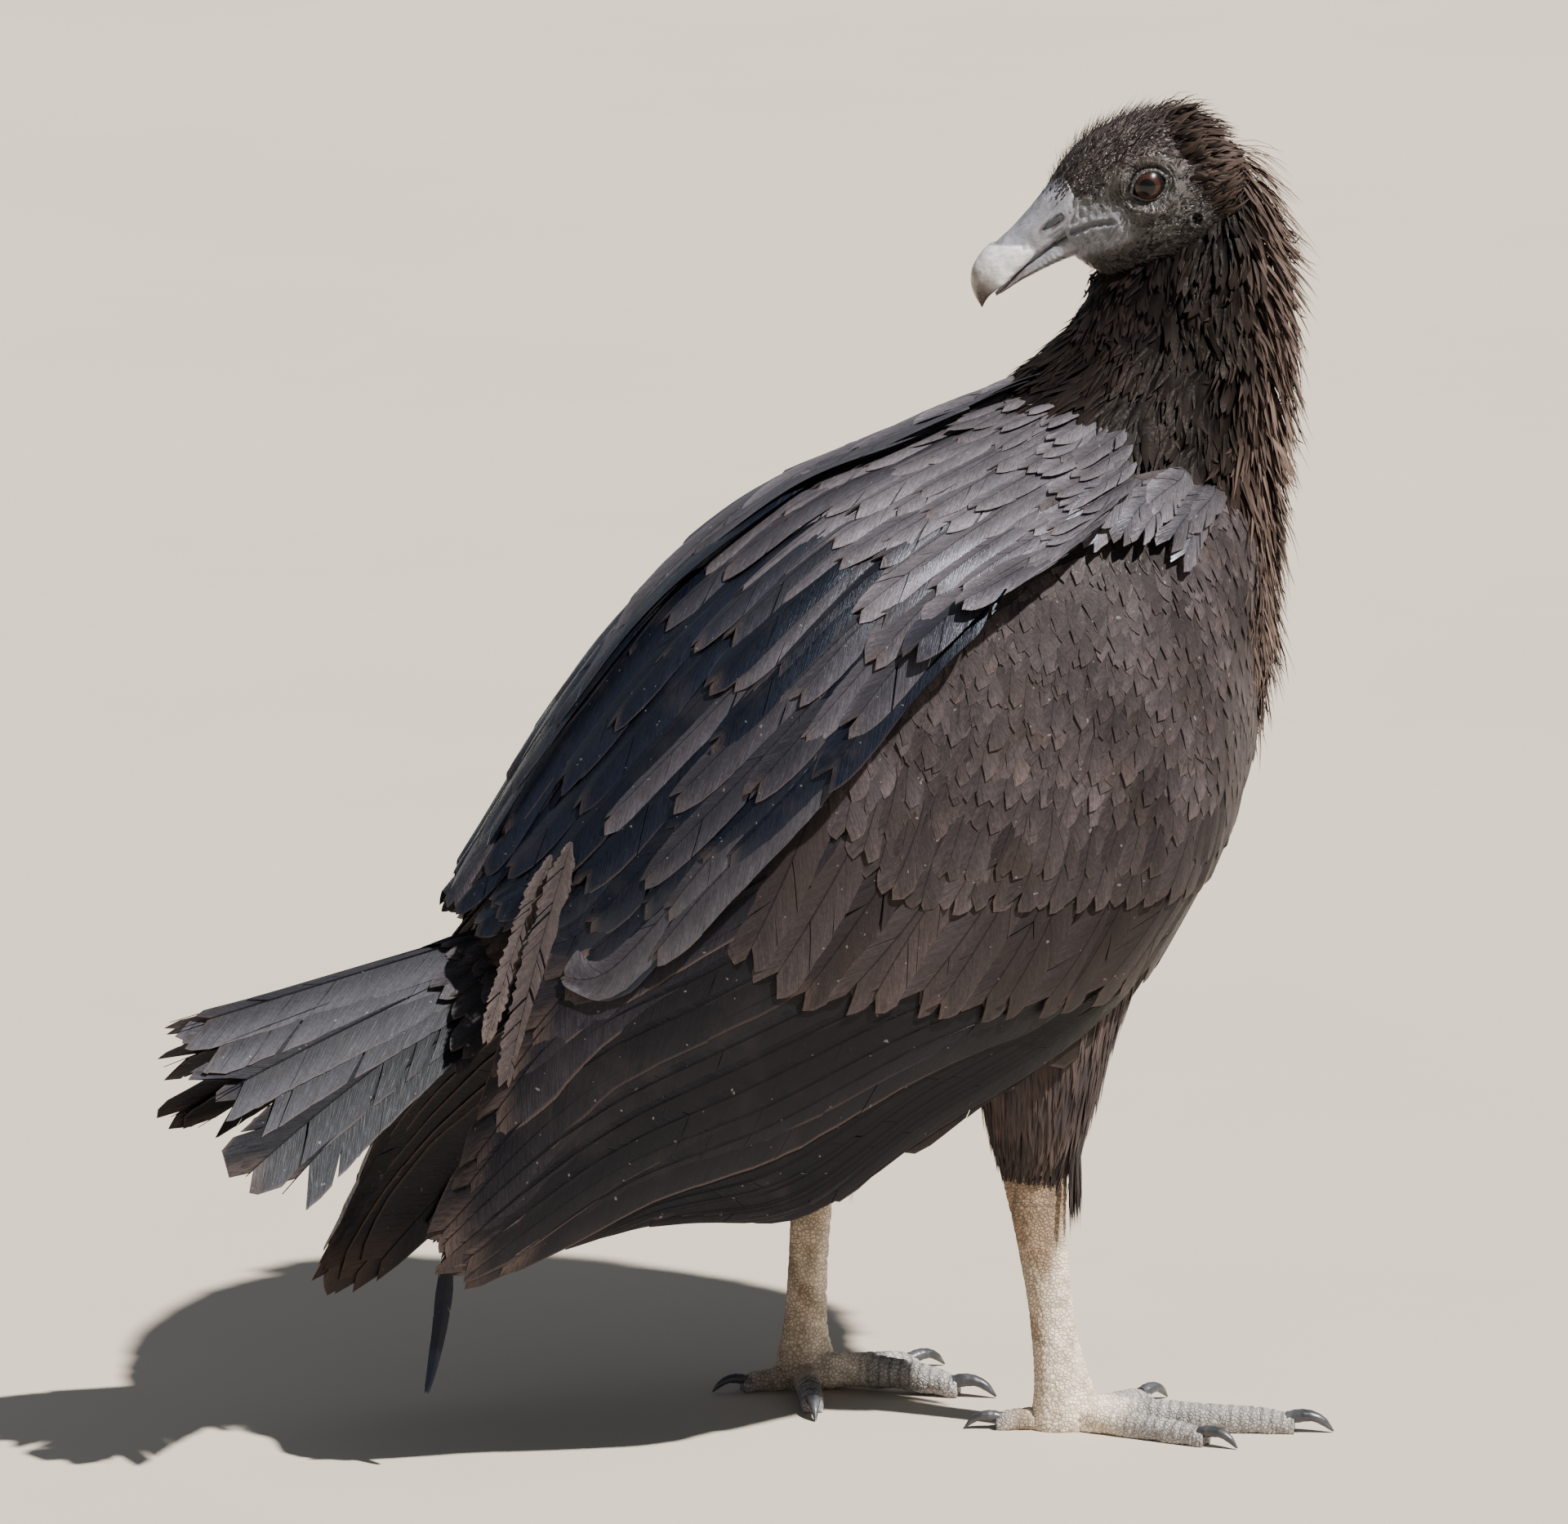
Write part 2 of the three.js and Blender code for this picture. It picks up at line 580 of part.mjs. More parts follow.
// A toe and its claw. cutter is what the toe gives way to; the fatter toe comes back, for the next one.
function makeToe(side, { digit, turn, length, height, half, arch, claw }, foot, cutter) {
  const along = plane(foot, [Math.cos(radians(turn)), Math.sin(radians(turn)), 0]);
  const rows = TOE_TAPER.map(([share, taper]) => {
    const lift = arch * Math.sin(Math.PI * share);
    return [share * length, taper * height + lift, share * length, TOE_SOLE + lift, (half * (1 + taper)) / 2];
  });
  const toe = loft(rows, along, { steps: 5, sides: 8, floor: true });
  const toeCutter = loft(rows, along, { steps: 5, sides: 8, grow: GAP });
  const clawRows = CLAW_ROWS.map(([upperF, upperU, lowerF, lowerU, w]) => [
    length + upperF * claw, upperU * claw, length + lowerF * claw, lowerU * claw, w * claw,
  ]);
  add("toe_" + side + "_" + digit, toe.subtract(cutter), "leg");
  const clawSolid = loft(clawRows, along, { steps: 4, sides: 6 });
  add("claw_" + side + "_" + digit, clawSolid.subtract(toeCutter), "claw");
  return toeCutter;
}

// ---------------------------------------------------------------- the bird
makeBody();
makeHead();
makeBill();
for (const [side, sign, legSizes] of [["right", -1, RIGHT_LEG], ["left", 1, LEFT_LEG]]) {
  makeWing(side, sign);
  makeShoulder(side, sign);
  makeTail(side, sign);
  makeLeg(side, sign, legSizes);
}
makeLooseFeather();

export default bird;
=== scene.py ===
"""A still, life-size black vulture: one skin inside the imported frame, a coat of mesh feathers over
it, and eyes, bill, scaled feet and claws.

Sizes in the tables are millimetres in the frame's own axes: +X the way the body faces, +Y the
bird's left, +Z up, and the floor at z = 0. Each fleshy part is a surface of two parameters, and each
feather is laid on such a surface by the place of its root and of its tip.
"""

from collections import namedtuple

import bpy
import numpy as np
from bpy.props import FloatProperty, FloatVectorProperty, IntProperty, PointerProperty
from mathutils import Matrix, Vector


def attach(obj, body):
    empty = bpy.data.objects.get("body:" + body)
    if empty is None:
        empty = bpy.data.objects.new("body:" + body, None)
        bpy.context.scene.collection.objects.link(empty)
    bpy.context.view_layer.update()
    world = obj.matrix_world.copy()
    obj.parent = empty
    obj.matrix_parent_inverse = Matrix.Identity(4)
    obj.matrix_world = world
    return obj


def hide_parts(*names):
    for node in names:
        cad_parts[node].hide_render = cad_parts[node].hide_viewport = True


bl_info = {
    "name": "Black Vulture",
    "version": (1, 0, 0),
    "blender": (4, 5, 0),
    "location": "3D View > Sidebar > Vulture",
    "description": "Builds a still, life-size black vulture round its packed frame",
    "category": "Object",
}

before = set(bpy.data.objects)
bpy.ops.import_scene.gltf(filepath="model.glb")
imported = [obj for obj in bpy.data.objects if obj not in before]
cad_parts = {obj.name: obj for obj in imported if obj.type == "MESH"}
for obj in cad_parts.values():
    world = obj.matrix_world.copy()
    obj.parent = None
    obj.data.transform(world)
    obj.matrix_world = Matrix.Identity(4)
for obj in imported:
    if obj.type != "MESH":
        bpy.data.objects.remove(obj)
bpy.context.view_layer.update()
MM = 0.001
SIDES = (("right", -1), ("left", 1))
ROUND = (0, 2 * np.pi)          # once round a loft
NUDGE = 2e-3                    # the move of place by which slopes are measured
RUN_ON = 0.1                    # the share of its length by which a feather's line runs on at each end
PATCH = 0.003                   # the size of a feather's patch on the unwrap
LATTICE = 61                    # the number of scales after which their disorder repeats

# ---------------------------------------------------------------- outlines, in millimetres
# Body rows from the tail root to the back of the skull:
# upper x, upper z, lower x, lower z, half width.
BODY_ROWS = [
    (-98, 182, -92, 166, 10), (-84, 208, -72, 150, 32), (-55, 247, -35, 140, 50),
    (-20, 289, 15, 134, 63), (20, 324, 75, 138, 72), (52, 343, 130, 160, 75),
    (78, 356, 174, 204, 72), (98, 367, 199, 258, 64), (114, 381, 205, 308, 52),
    (128, 393, 209, 345, 41), (136, 403, 214, 380, 34), (142, 415, 213, 412, 30),
    (152, 428, 207, 438, 26), (163, 440, 202, 454, 20), (172, 451, 194, 464, 12),
]

# The middle of the skull, and how far the head turns back and its bill dips, in degrees.
HEAD_AT = (163.3, -4, 446.6)
HEAD_YAW = 14
HEAD_TILT = 22
# Head and bill rows in the head's own plane: upper forward, upper up, lower forward, lower up,
# half width.
HEAD_ROWS = [
    (-27, 4, -27, -6, 5), (-23, 17, -23, -17, 14), (-16, 25.5, -16, -24, 19.5),
    (-8, 29.5, -8, -28.5, 22), (2, 31.2, 2, -31, 22), (11, 31, 11, -31, 20.3),
    (19, 29.3, 19, -28.8, 17.6), (26, 26.3, 26, -24, 14.8), (32, 22.3, 32, -18, 12),
    (38, 17.4, 37, -11, 9.4),
]
UPPER_BILL_ROWS = [
    (30, 22.5, 29, 0.9, 11), (38, 17.4, 36, 0.3, 9.8), (46, 12.9, 44, -1.9, 8.4),
    (54, 9, 52, -4.1, 7.4), (61, 6.3, 59.5, -6.6, 7), (67.5, 4.4, 65.5, -9.2, 7.2),
    (73.2, 0.6, 68.8, -10.2, 6), (75.9, -4.5, 70.6, -11, 4.2), (76.3, -9.5, 72.6, -12.2, 2.6),
    (75.6, -14, 75.2, -14.5, 0.5),
]
LOWER_BILL_ROWS = [
    (30, 0.2, 30, -10.5, 9), (41, -1.6, 41, -9.5, 7.8), (50, -4.2, 50, -9.9, 6.7),
    (58, -6.6, 58, -10.6, 5.6), (65, -9.8, 65, -11.8, 4.2), (69, -11.4, 69, -12.6, 2.2),
]
# Places on the head: forward and up from the middle of the skull, and out from its middle plane.
EYE_AT = (2.9, 7.6, 15.2)
EYE_RADIUS = 6.9
EAR_AT = (-8.4, -10.8)
NOSTRIL_AT = (40.2, 6.2)
NOSTRIL_SLOPE = np.radians(14)
# The line of the mouth, back to its corner.
GAPE = ((35, 0.3), (28, 1.2), (20.4, -0.4))

# Legs. Thigh and shank rows are front x, front z, back x, back z, half width, in the plane y. A toe
# has its turn, length, height, half width, arch and claw's scale.
Leg = namedtuple("Leg", "y thigh shank foot toes")
Toe = namedtuple("Toe", "digit turn length height half arch claw")
LEGS = {
    "right": Leg(
        -48,
        [(150, 200, 70, 190, 28), (144, 180, 72, 160, 28), (131, 145, 80, 130, 24),
         (122, 114, 86, 104, 16), (115, 96, 89, 96, 9.5)],
        [(112, 103, 93, 104, 6), (113.5, 93, 89.8, 95, 7.6), (113.5, 76, 93.5, 78, 6.4),
         (115.6, 50.5, 98.7, 51.8, 5.8), (119, 30, 101, 33, 6.2), (124, 15, 102, 17, 8.2),
         (128, 3, 101, 3, 9.5), (127, -1, 102, -1, 9)],
        (115, -49, 0),
        [Toe(3, -23, 82, 12.5, 6, 0, 1), Toe(4, -47, 56, 10.5, 5.4, 0, 0.9),
         Toe(2, 32, 44, 10, 5, 0, 0.9), Toe(1, 166, 27, 9.5, 5, 0, 0.8)],
    ),
    "left": Leg(
        40,
        [(92, 190, 16, 180, 28), (84, 165, 20, 150, 26), (74, 132, 26, 122, 21),
         (64, 108, 31, 102, 15), (57, 92, 33, 93, 9.5)],
        [(57, 100, 36, 101, 6), (56, 88, 34, 90, 7.6), (53, 70, 37, 71, 6.2),
         (51, 45, 36.5, 46, 5.8), (51, 22, 34.5, 24, 6.4), (54, 10, 32, 11, 8.4),
         (55, 3, 31, 3, 9.2), (54, -1, 32, -1, 8.8)],
        (42, 38, 0),
        [Toe(3, -32, 58, 12.5, 6, 3, 1), Toe(4, 14, 48, 10.5, 5.4, 1, 0.9),
         Toe(2, -104, 40, 10, 5, 1, 0.9), Toe(1, 178, 24, 9.5, 5, 0, 0.8)],
    ),
}
# The toes' plates, in millimetres from one to the next, and their height by share of length.
TOE_PLATES = 3.7
TOE_TAPER = [(0, 1), (0.3, 0.92), (0.6, 0.78), (0.85, 0.7), (1, 0.5)]
# A claw's rows in the plane of its toe, from the toe's end: upper and lower rail, half width.
CLAW_ROWS = [
    (-3, 7.6, -3, 2.4, 2.8), (2, 8.6, 2, 3.4, 2.9), (7, 8, 6.5, 3.9, 2.4),
    (11.5, 5.4, 10, 2.6, 1.6), (14.5, 0.9, 14, 0.4, 0.5),
]

# Wing grid, right side: rows from the leading edge to the tips, each from the top edge down.
WING_GRID = [
    [(158, -52, 350), (184, -48, 330), (193, -40, 284), (184, -46, 236), (158, -56, 198)],
    [(108, -72, 344), (134, -87, 306), (150, -92, 256), (150, -88, 212), (136, -72, 172)],
    [(62, -84, 316), (78, -98, 270), (92, -102, 227), (98, -98, 187), (98, -86, 153)],
    [(10, -84, 272), (20, -96, 232), (30, -100, 198), (40, -98, 164), (48, -88, 130)],
    [(-38, -72, 222), (-34, -82, 190), (-26, -86, 162), (-14, -86, 131), (0, -84, 102)],
    [(-83, -56, 176), (-80, -64, 152), (-74, -70, 128), (-64, -74, 108), (-50, -76, 96)],
    [(-122, -44, 104), (-130, -49, 86), (-132, -52, 74), (-116, -56, 68), (-98, -60, 76)],
]
# How far the left wing's tip hangs from the mirror image of the right one's.
LEFT_WING_SLIP = (-14, 0, -31)
# Shoulder grid, right side: rows from the neck to the rump, each from the back's middle outwards.
SHOULDER_GRID = [
    [(112, 0, 379), (118, -30, 372), (120, -54, 360), (112, -76, 347), (97, -90, 336)],
    [(65, 0, 361), (70, -38, 354), (74, -66, 343), (72, -84, 331), (66, -96, 320)],
    [(20, 0, 343), (25, -44, 335), (31, -74, 321), (36, -90, 307), (36, -98, 296)],
    [(-25, 0, 309), (-18, -44, 301), (-9, -74, 288), (-2, -90, 270), (-1, -97, 252)],
    [(-59, 0, 269), (-53, -38, 262), (-46, -62, 249), (-39, -78, 230), (-34, -86, 216)],
    [(-88, 0, 226), (-84, -28, 221), (-78, -48, 210), (-71, -62, 194), (-64, -72, 180)],
    [(-104, 0, 201), (-103, -14, 199), (-99, -28, 195), (-93, -40, 190), (-84, -54, 183)],
]
# Height below which the legs' skin is scaled, and the middle of a rusty patch at the neck's base.
SCALED_BELOW = 102
RUSTY_PATCH = (176, -34, 352)
# The start and end of the feather that hangs free.
LOOSE_FEATHER = ((-121, -44, 84), (-127, -40, 30))
# Bleached feathers: start, end, half width and height above their plane.
BLEACHED_FEATHERS = [
    ((-76, -49, 226), (-101, -53, 143), 5.2, 0.0), ((-82, -46, 222), (-107, -50, 160), 3.6, -1.4),
]


# Colours that no user would change.
DUST = (0.3, 0.28, 0.27)
PUPIL = (0.002, 0.002, 0.003)
EYE_RIM = (0.006, 0.004, 0.004)
FLOOR = (0.52, 0.46, 0.38)


# ---------------------------------------------------------------- surfaces
def smooth(rows, t):
    """The rows at shares t of their length: a Catmull-Rom curve through every column, which runs
    straight on beyond both ends."""
    rows = np.asarray(rows, float)
    last = len(rows) - 1
    place = np.asarray(t, float) * last
    i = np.clip(place.astype(int), 0, last - 1)
    f = (place - i).reshape(place.shape + (1,) * (rows.ndim - 1))
    padded = np.concatenate([2 * rows[:1] - rows[1:2], rows, 2 * rows[-1:] - rows[-2:-1]])
    a, b, c, d = (padded[i + k] for k in range(4))
    g = np.clip(f, 0, 1)
    curve = b + 0.5 * g * (c - a + g * (2 * a - 5 * b + 4 * c - d + g * (3 * (b - c) + d - a)))
    return curve + 0.5 * np.minimum(f, 0) * (c - a) + 0.5 * np.maximum(f - 1, 0) * (d - b)


def patch(grid, a, b):
    """Points of a grid at shares a (along its rows) and b (along each row): smooth() across the
    rows, then the same curve along the row that this gives."""
    a, b = np.broadcast_arrays(a, b)
    rows = smooth(grid, a)
    last = rows.shape[-2] - 1
    j = np.clip((b * last).astype(int), 0, last - 1)
    f = (b * last - j)[..., None]
    first, end = rows[..., :1, :], rows[..., -1:, :]
    padded = np.concatenate([2 * first - rows[..., 1:2, :], rows, 2 * end - rows[..., -2:-1, :]], -2)
    p, q, r, s = (np.take_along_axis(padded, (j + k)[..., None, None], -2)[..., 0, :] for k in range(4))
    g = np.clip(f, 0, 1)
    curve = q + 0.5 * g * (r - p + g * (2 * p - 5 * q + 4 * r - s + g * (3 * (q - r) + s - p)))
    return curve + 0.5 * np.minimum(f, 0) * (r - p) + 0.5 * np.maximum(f - 1, 0) * (s - q)


def unit(v):
    """Vectors brought to length 1."""
    return v / np.maximum(np.linalg.norm(v, axis=-1, keepdims=True), 1e-9)


def dot(a, b):
    return (a * b).sum(-1)


def blend(a, b, share):
    """a where share is 0, b where it is 1, for colours with a share for each point."""
    share = np.asarray(share)[..., None]
    return np.asarray(a) * (1 - share) + np.asarray(b) * share


def solid(colour):
    """Colours for a mesh's points, kept above black, with an alpha of 1."""
    return np.concatenate([np.clip(colour, 0.002, 1), np.ones((len(colour), 1))], 1)


def radial(way):
    """A direction across the head from its forward, up and sideways parts."""
    return way[..., 1:2] * HEAD.u + way[..., 2:3] * HEAD.side


def step_up(x, low, high):
    """0 below low, 1 above high, and a smooth step between them."""
    t = np.clip((x - low) / (high - low), 0, 1)
    return t * t * (3 - 2 * t)


def hump(x, width):
    """A bell: 1 where x is 0, and 0.37 at the width."""
    return np.exp(-((x / width) ** 2))


Plane = namedtuple("Plane", "at f u side")


def upright(at, forward=(1, 0, 0)):
    """An upright plane in which rails are drawn: where it starts, and its forward, up and side
    directions."""
    f = unit(np.array(forward, float))
    side = unit(np.cross((0, 0, 1), f))
    return Plane(np.array(at, float), f, np.cross(f, side), side)


def loft(rows, plane, inset=0.0, power=(1, 1)):
    """A surface round two rails: at share t of the rows and turn radians from the upper rail, the
    point is the rails' middle + arm x cos(turn) + side x half width x sin(turn), with both raised
    to the upper or lower half's power, which makes that half boxy below 1. inset, a number or a
    function of t, draws it inwards."""
    def face(t, turn):
        row = smooth(rows, t)
        top = plane.at + row[..., 0:1] * plane.f + row[..., 1:2] * plane.u
        low = plane.at + row[..., 2:3] * plane.f + row[..., 3:4] * plane.u
        depth = np.asarray(inset(t) if callable(inset) else inset)[..., None]
        arm = (top - low) / 2
        length = np.linalg.norm(arm, axis=-1, keepdims=True)
        arm = arm * np.maximum(length - depth, 0.25 * length) / length
        half = np.maximum(row[..., 4:5] - depth, 0.25 * row[..., 4:5])
        turn = np.asarray(turn)[..., None]
        c, s = np.cos(turn), np.sin(turn)
        if power != (1, 1):
            by = np.where(c > 0, *power)
            c, s = np.sign(c) * np.abs(c) ** by, np.sign(s) * np.abs(s) ** by
        return (top + low) / 2 + arm * c + plane.side * half * s
    return face


def ripple(points, wavelength, seed, stretch=(1, 1, 1)):
    """A smooth random height of about -1 to 1: the sum of plane waves of nearly one wavelength in
    random directions, drawn out along each axis by stretch."""
    rng, waves = np.random.default_rng(seed), 14
    ways = unit(rng.normal(size=(waves, 3))) / np.array(stretch, float)
    ways = ways * (2 * np.pi / wavelength) * rng.uniform(0.7, 1.4, (waves, 1))
    phase = rng.uniform(0, 2 * np.pi, waves)
    return np.sin(points @ ways.T + phase).sum(-1) / np.sqrt(waves / 2) * 0.6


# The skull's own frame: forward along the bill, up and sideways.
YAW, TILT = np.radians(HEAD_YAW), np.radians(HEAD_TILT)
HEAD = upright(HEAD_AT, (-np.cos(YAW) * np.cos(TILT), np.sin(YAW) * np.cos(TILT), -np.sin(TILT)))
MIDLINE = upright((0, 0, 0))


def in_head(points):
    """Points as forward, up and sideways distances from the middle of the skull."""
    away = points - HEAD.at
    return np.stack([away @ HEAD.f, away @ HEAD.u, away @ HEAD.side], -1)


def from_head(forward, up, out):
    """The point at those distances from the middle of the skull."""
    parts = np.broadcast_arrays(forward, up, out)
    return HEAD.at + sum(p[..., None] * axis for p, axis in zip(parts, (HEAD.f, HEAD.u, HEAD.side)))


def line_distance(forward, up, line):
    """Each point's distance from a line through points of the head's own plane."""
    here = np.stack([forward, up], -1)
    best = np.full(forward.shape, 1e9)
    for start, end in zip(line, line[1:]):
        start, way = np.array(start, float), np.subtract(end, start)
        share = np.clip(dot(here - start, way) / dot(way, way), 0, 1)[..., None]
        best = np.minimum(best, np.linalg.norm(here - start - way * share, axis=-1))
    return best


def from_eye(f, u):
    """A place's distance from the middle of the eye, in the head's own plane."""
    return np.hypot(f - EYE_AT[0], u - EYE_AT[1])


def head_relief(place):
    """How far the head's skin stands above its smooth shape, in millimetres: a dish round each eye
    under a brow, rings of folds round the lids, creases on the cheeks and crown, the mouth's corner
    and the ear."""
    f, u, s = np.moveaxis(place, -1, 0)
    s = np.abs(s)
    lateral = step_up(s, 6, 12)
    away = np.hypot((f - EYE_AT[0]) * 0.96, u - EYE_AT[1])
    angle = np.arctan2(u - EYE_AT[1], f - EYE_AT[0])
    wander = ripple(place, 9, 3)
    dish = -3.3 * np.exp(-((away / 7.2) ** 4)) * lateral
    brow = 1.5 * hump(away - 10.2, 2.4) * step_up(np.sin(angle + 0.25), 0.1, 0.9) * lateral
    bag = 0.9 * hump(away - 9.8, 2.2) * step_up(-np.sin(angle), 0.1, 0.8) * lateral
    rings = np.sin(2 * np.pi * (away + 0.55 * wander) / 1.35) * hump(away - 9.4, 3.2)
    rings = 0.55 * rings * (0.65 + 0.35 * np.sin(5 * angle + 2 * wander)) * lateral
    spokes = 0.24 * np.sin(34 * angle + 3 * wander) * hump(away - 8.2, 1.6) * lateral
    lores = -1.1 * np.exp(-(((f - 17) / 7) ** 2) - ((u - 6) / 5.5) ** 2) * lateral
    along = f * 0.82 - u * 0.57
    across = f * 0.57 + u * 0.82
    creases = np.sin(2 * np.pi * (across + 0.9 * wander + 0.08 * along) / 1.5)
    cheek = hump(f - 19, 11) * step_up(-u, -4, 3) * lateral
    creases = 0.30 * creases * cheek * (0.6 + 0.4 * ripple(place, 5, 5))
    fine = 0.17 * ripple(place, 2.3, 8, stretch=(1, 1.8, 1.8)) + 0.2 * ripple(place, 3.6, 9)
    from_gape = line_distance(f, u, GAPE)
    gape = (-1.0 * hump(from_gape, 0.75) + 0.55 * hump(from_gape - 1.9, 1.0)) * step_up(s, 3, 7)
    behind = np.hypot(f - GAPE[-1][0], u - GAPE[-1][1])
    folds = 0.24 * np.sin(2 * np.pi * behind / 1.8) * hump(behind - 4, 3) * step_up(-f, -19, -15)
    from_ear = np.hypot((f - EAR_AT[0]) / 0.8, u - EAR_AT[1])
    ear = (-3.4 * np.exp(-((from_ear / 1.9) ** 4)) + 0.5 * hump(from_ear - 3.4, 1.1)) * lateral
    return dish + brow + bag + rings + spokes + lores + creases + fine + gape + folds * lateral + ear


def head_face(t, turn):
    """The head's skin: its loft moved along the way out from the skull's axis by head_relief()."""
    at = loft(HEAD_ROWS, HEAD, inset=0.7)(t, turn)
    place = in_head(at)
    out = unit(place * np.array((0.0, 0.75, 1.6)))
    return at + radial(out) * head_relief(place)[..., None]


def wing_grid(sign):
    """The right wing's grid, or the left one's: its mirror image, hanging lower towards the tips."""
    grid = np.array(WING_GRID, float)
    if sign < 0:
        return grid
    share = np.linspace(0, 1, len(grid))[:, None, None] ** 2
    return grid * (1, -1, 1) + share * np.array(LEFT_WING_SLIP, float)


def wing_thick(a, b):
    """How thick the wing is at a and b: feather thin at the tips, and stout at the shoulder."""
    share = np.minimum(0.1 + 6 * a, np.maximum(0, 1 - a / 0.66))
    return 3 + 36 * share * (1 - 0.8 * b * b)


def wing_face(sign):
    """The wing's outer face, which turns round the leading edge where a goes below 0 and runs on
    over the inner face: the grid at the size of a, moved inwards by the share of the wing's
    thickness that 1/2 - a / (2 sqrt(a^2 + e^2)) gives."""
    grid = wing_grid(sign)
    edge = 0.025
    def face(a, b):
        a, b = np.broadcast_arrays(a, b)
        size = np.sqrt(a * a + edge * edge)
        inside = 0.5 - 0.5 * a / size
        at = patch(grid, size - edge, b)
        at = at + inside[..., None] * (wing_thick(size - edge, b)[..., None] * np.array((0, -sign, 0)))
        return at
    return face


def shoulder_face(sign):
    """The shoulder's upper face, from the neck to the rump and from the spine outwards."""
    grid = np.array(SHOULDER_GRID, float) * (1, -sign, 1)
    return lambda a, b: patch(grid, a, b)


def tail_face(v, s):
    """The tail's roof: v from -1, the bird's right edge, to 1, its left, and s from root to tip."""
    f = np.abs(v)
    root = np.stack([-84 - 6 * f, 22 * v, 190 - 22 * f], -1)
    tip = np.stack([-212.6 + 20 * f ** 2, 64 * v, 162 - 62 * f ** 1.2], -1)
    return root + (tip - root) * np.asarray(s)[..., None]


def toe_rows(toe):
    """A toe's rows in its own upright plane, with a swelling at each joint's pad."""
    shares, taper = np.array(TOE_TAPER).T
    lift = toe.arch * np.sin(np.pi * shares)
    top, low = taper * toe.height + lift, -1.2 + lift
    along = shares * toe.length
    return np.stack([along, top, along, low, toe.half * (1 + taper) / 2], -1)


# ---------------------------------------------------------------- meshes
def make_mesh(name, points, faces, maps=(), tints=(), sharp=None):
    """An object from points in millimetres and arrays of faces, one array for each number of
    corners. maps and tints hold a name and a row for each point."""
    mesh = bpy.data.meshes.new(name)
    corners = np.concatenate([f.ravel() for f in faces]).astype(np.int32)
    counts = np.concatenate([np.full(len(f), f.shape[1]) for f in faces])
    mesh.vertices.add(len(points))
    mesh.vertices.foreach_set("co", (points * MM).astype(np.float32).ravel())
    mesh.loops.add(len(corners))
    mesh.loops.foreach_set("vertex_index", corners)
    mesh.polygons.add(len(counts))
    mesh.polygons.foreach_set("loop_start", np.concatenate([[0], np.cumsum(counts)[:-1]]).astype(np.int32))
    mesh.polygons.foreach_set("use_smooth", np.ones(len(counts), bool))
    mesh.update(calc_edges=True)
    for label, uv in maps:
        add_map(mesh, label, uv, corners)
    for label, colour in tints:
        add_colours(mesh, label, colour)
    made = bpy.data.objects.new(name, mesh)
    bpy.context.scene.collection.objects.link(made)
    if sharp is not None:
        bpy.context.view_layer.objects.active = made
        made.select_set(True)
        bpy.ops.object.shade_smooth_by_angle(angle=np.radians(sharp))
        made.select_set(False)
    return made


def tube_faces(rings, around, flip=False, caps=True, closed=False):
    """Faces of a tube of rings, each point's number being ring x around + place in the ring: a
    square between neighbours, and one flat face at each end, or squares back to the first ring
    where the tube is closed on itself."""
    i, j = np.meshgrid(np.arange(rings if closed else rings - 1), np.arange(around), indexing="ij")
    n, k = (i + 1) % rings, (j + 1) % around
    quads = np.stack([i * around + j, n * around + j, n * around + k, i * around + k], -1).reshape(-1, 4)
    ends = np.stack([np.arange(around), (rings * around - 1) - np.arange(around)])
    if flip:
        quads, ends = quads[:, ::-1], ends[:, ::-1]
    if closed or not caps:
        return [quads]
    return [quads, ends] if around != 4 else [np.concatenate([quads, ends])]


def rounded_tube(face, t, turn, name):
    """A closed object from a surface: rings at the shares t, each closed round the turns, with its
    ends drawn to their middle."""
    count, turns = len(t), len(turn)
    rings = face(t[:, None], turn[None])
    points = np.concatenate([rings.reshape(-1, 3), [rings[0].mean(0), rings[-1].mean(0)]])
    quads = tube_faces(count, turns, caps=False)[0]
    j = np.arange(turns)
    k = (j + 1) % turns
    far = (count - 1) * turns
    start = np.stack([np.full(turns, count * turns), j, k], -1)
    stop = np.stack([np.full(turns, count * turns + 1), k + far, j + far], -1)
    return face_out(make_mesh(name, points, [quads, np.concatenate([start, stop])]))


def slab(outer, inner, name):
    """A closed slab between an outer and an inner sheet of points, rows x columns each."""
    rows, columns = outer.shape[:2]
    ring = np.concatenate([outer, inner[:, ::-1]], 1)
    around = 2 * columns
    quads = tube_faces(rows, around, caps=False)[0]
    j = np.arange(columns - 1)
    start = np.stack([around - 1 - j, around - 2 - j, j + 1, j], -1)
    far = (rows - 1) * around
    stop = np.stack([far + j, far + j + 1, far + around - 2 - j, far + around - 1 - j], -1)
    quads = np.concatenate([quads, start[:, ::-1], stop[:, ::-1]])
    return face_out(make_mesh(name, ring.reshape(-1, 3), [quads]))


def read(items, field, width=1, kind=float):
    """One field of every vertex, corner or face, as rows of that many numbers."""
    values = np.empty(len(items) * width, kind)
    items.foreach_get(field, values)
    return values.reshape(-1, width)


def points_of(made):
    return read(made.data.vertices, "co", 3) / MM


def face_out(made):
    """Turns a closed mesh whose volume comes out negative, so that its faces point outwards."""
    made.data.calc_loop_triangles()
    corners = read(made.data.loop_triangles, "vertices", 3, np.int32)
    a, b, c = points_of(made)[corners].transpose(1, 0, 2)
    if dot(a, np.cross(b, c)).sum() < 0:
        made.data.flip_normals()
    return made


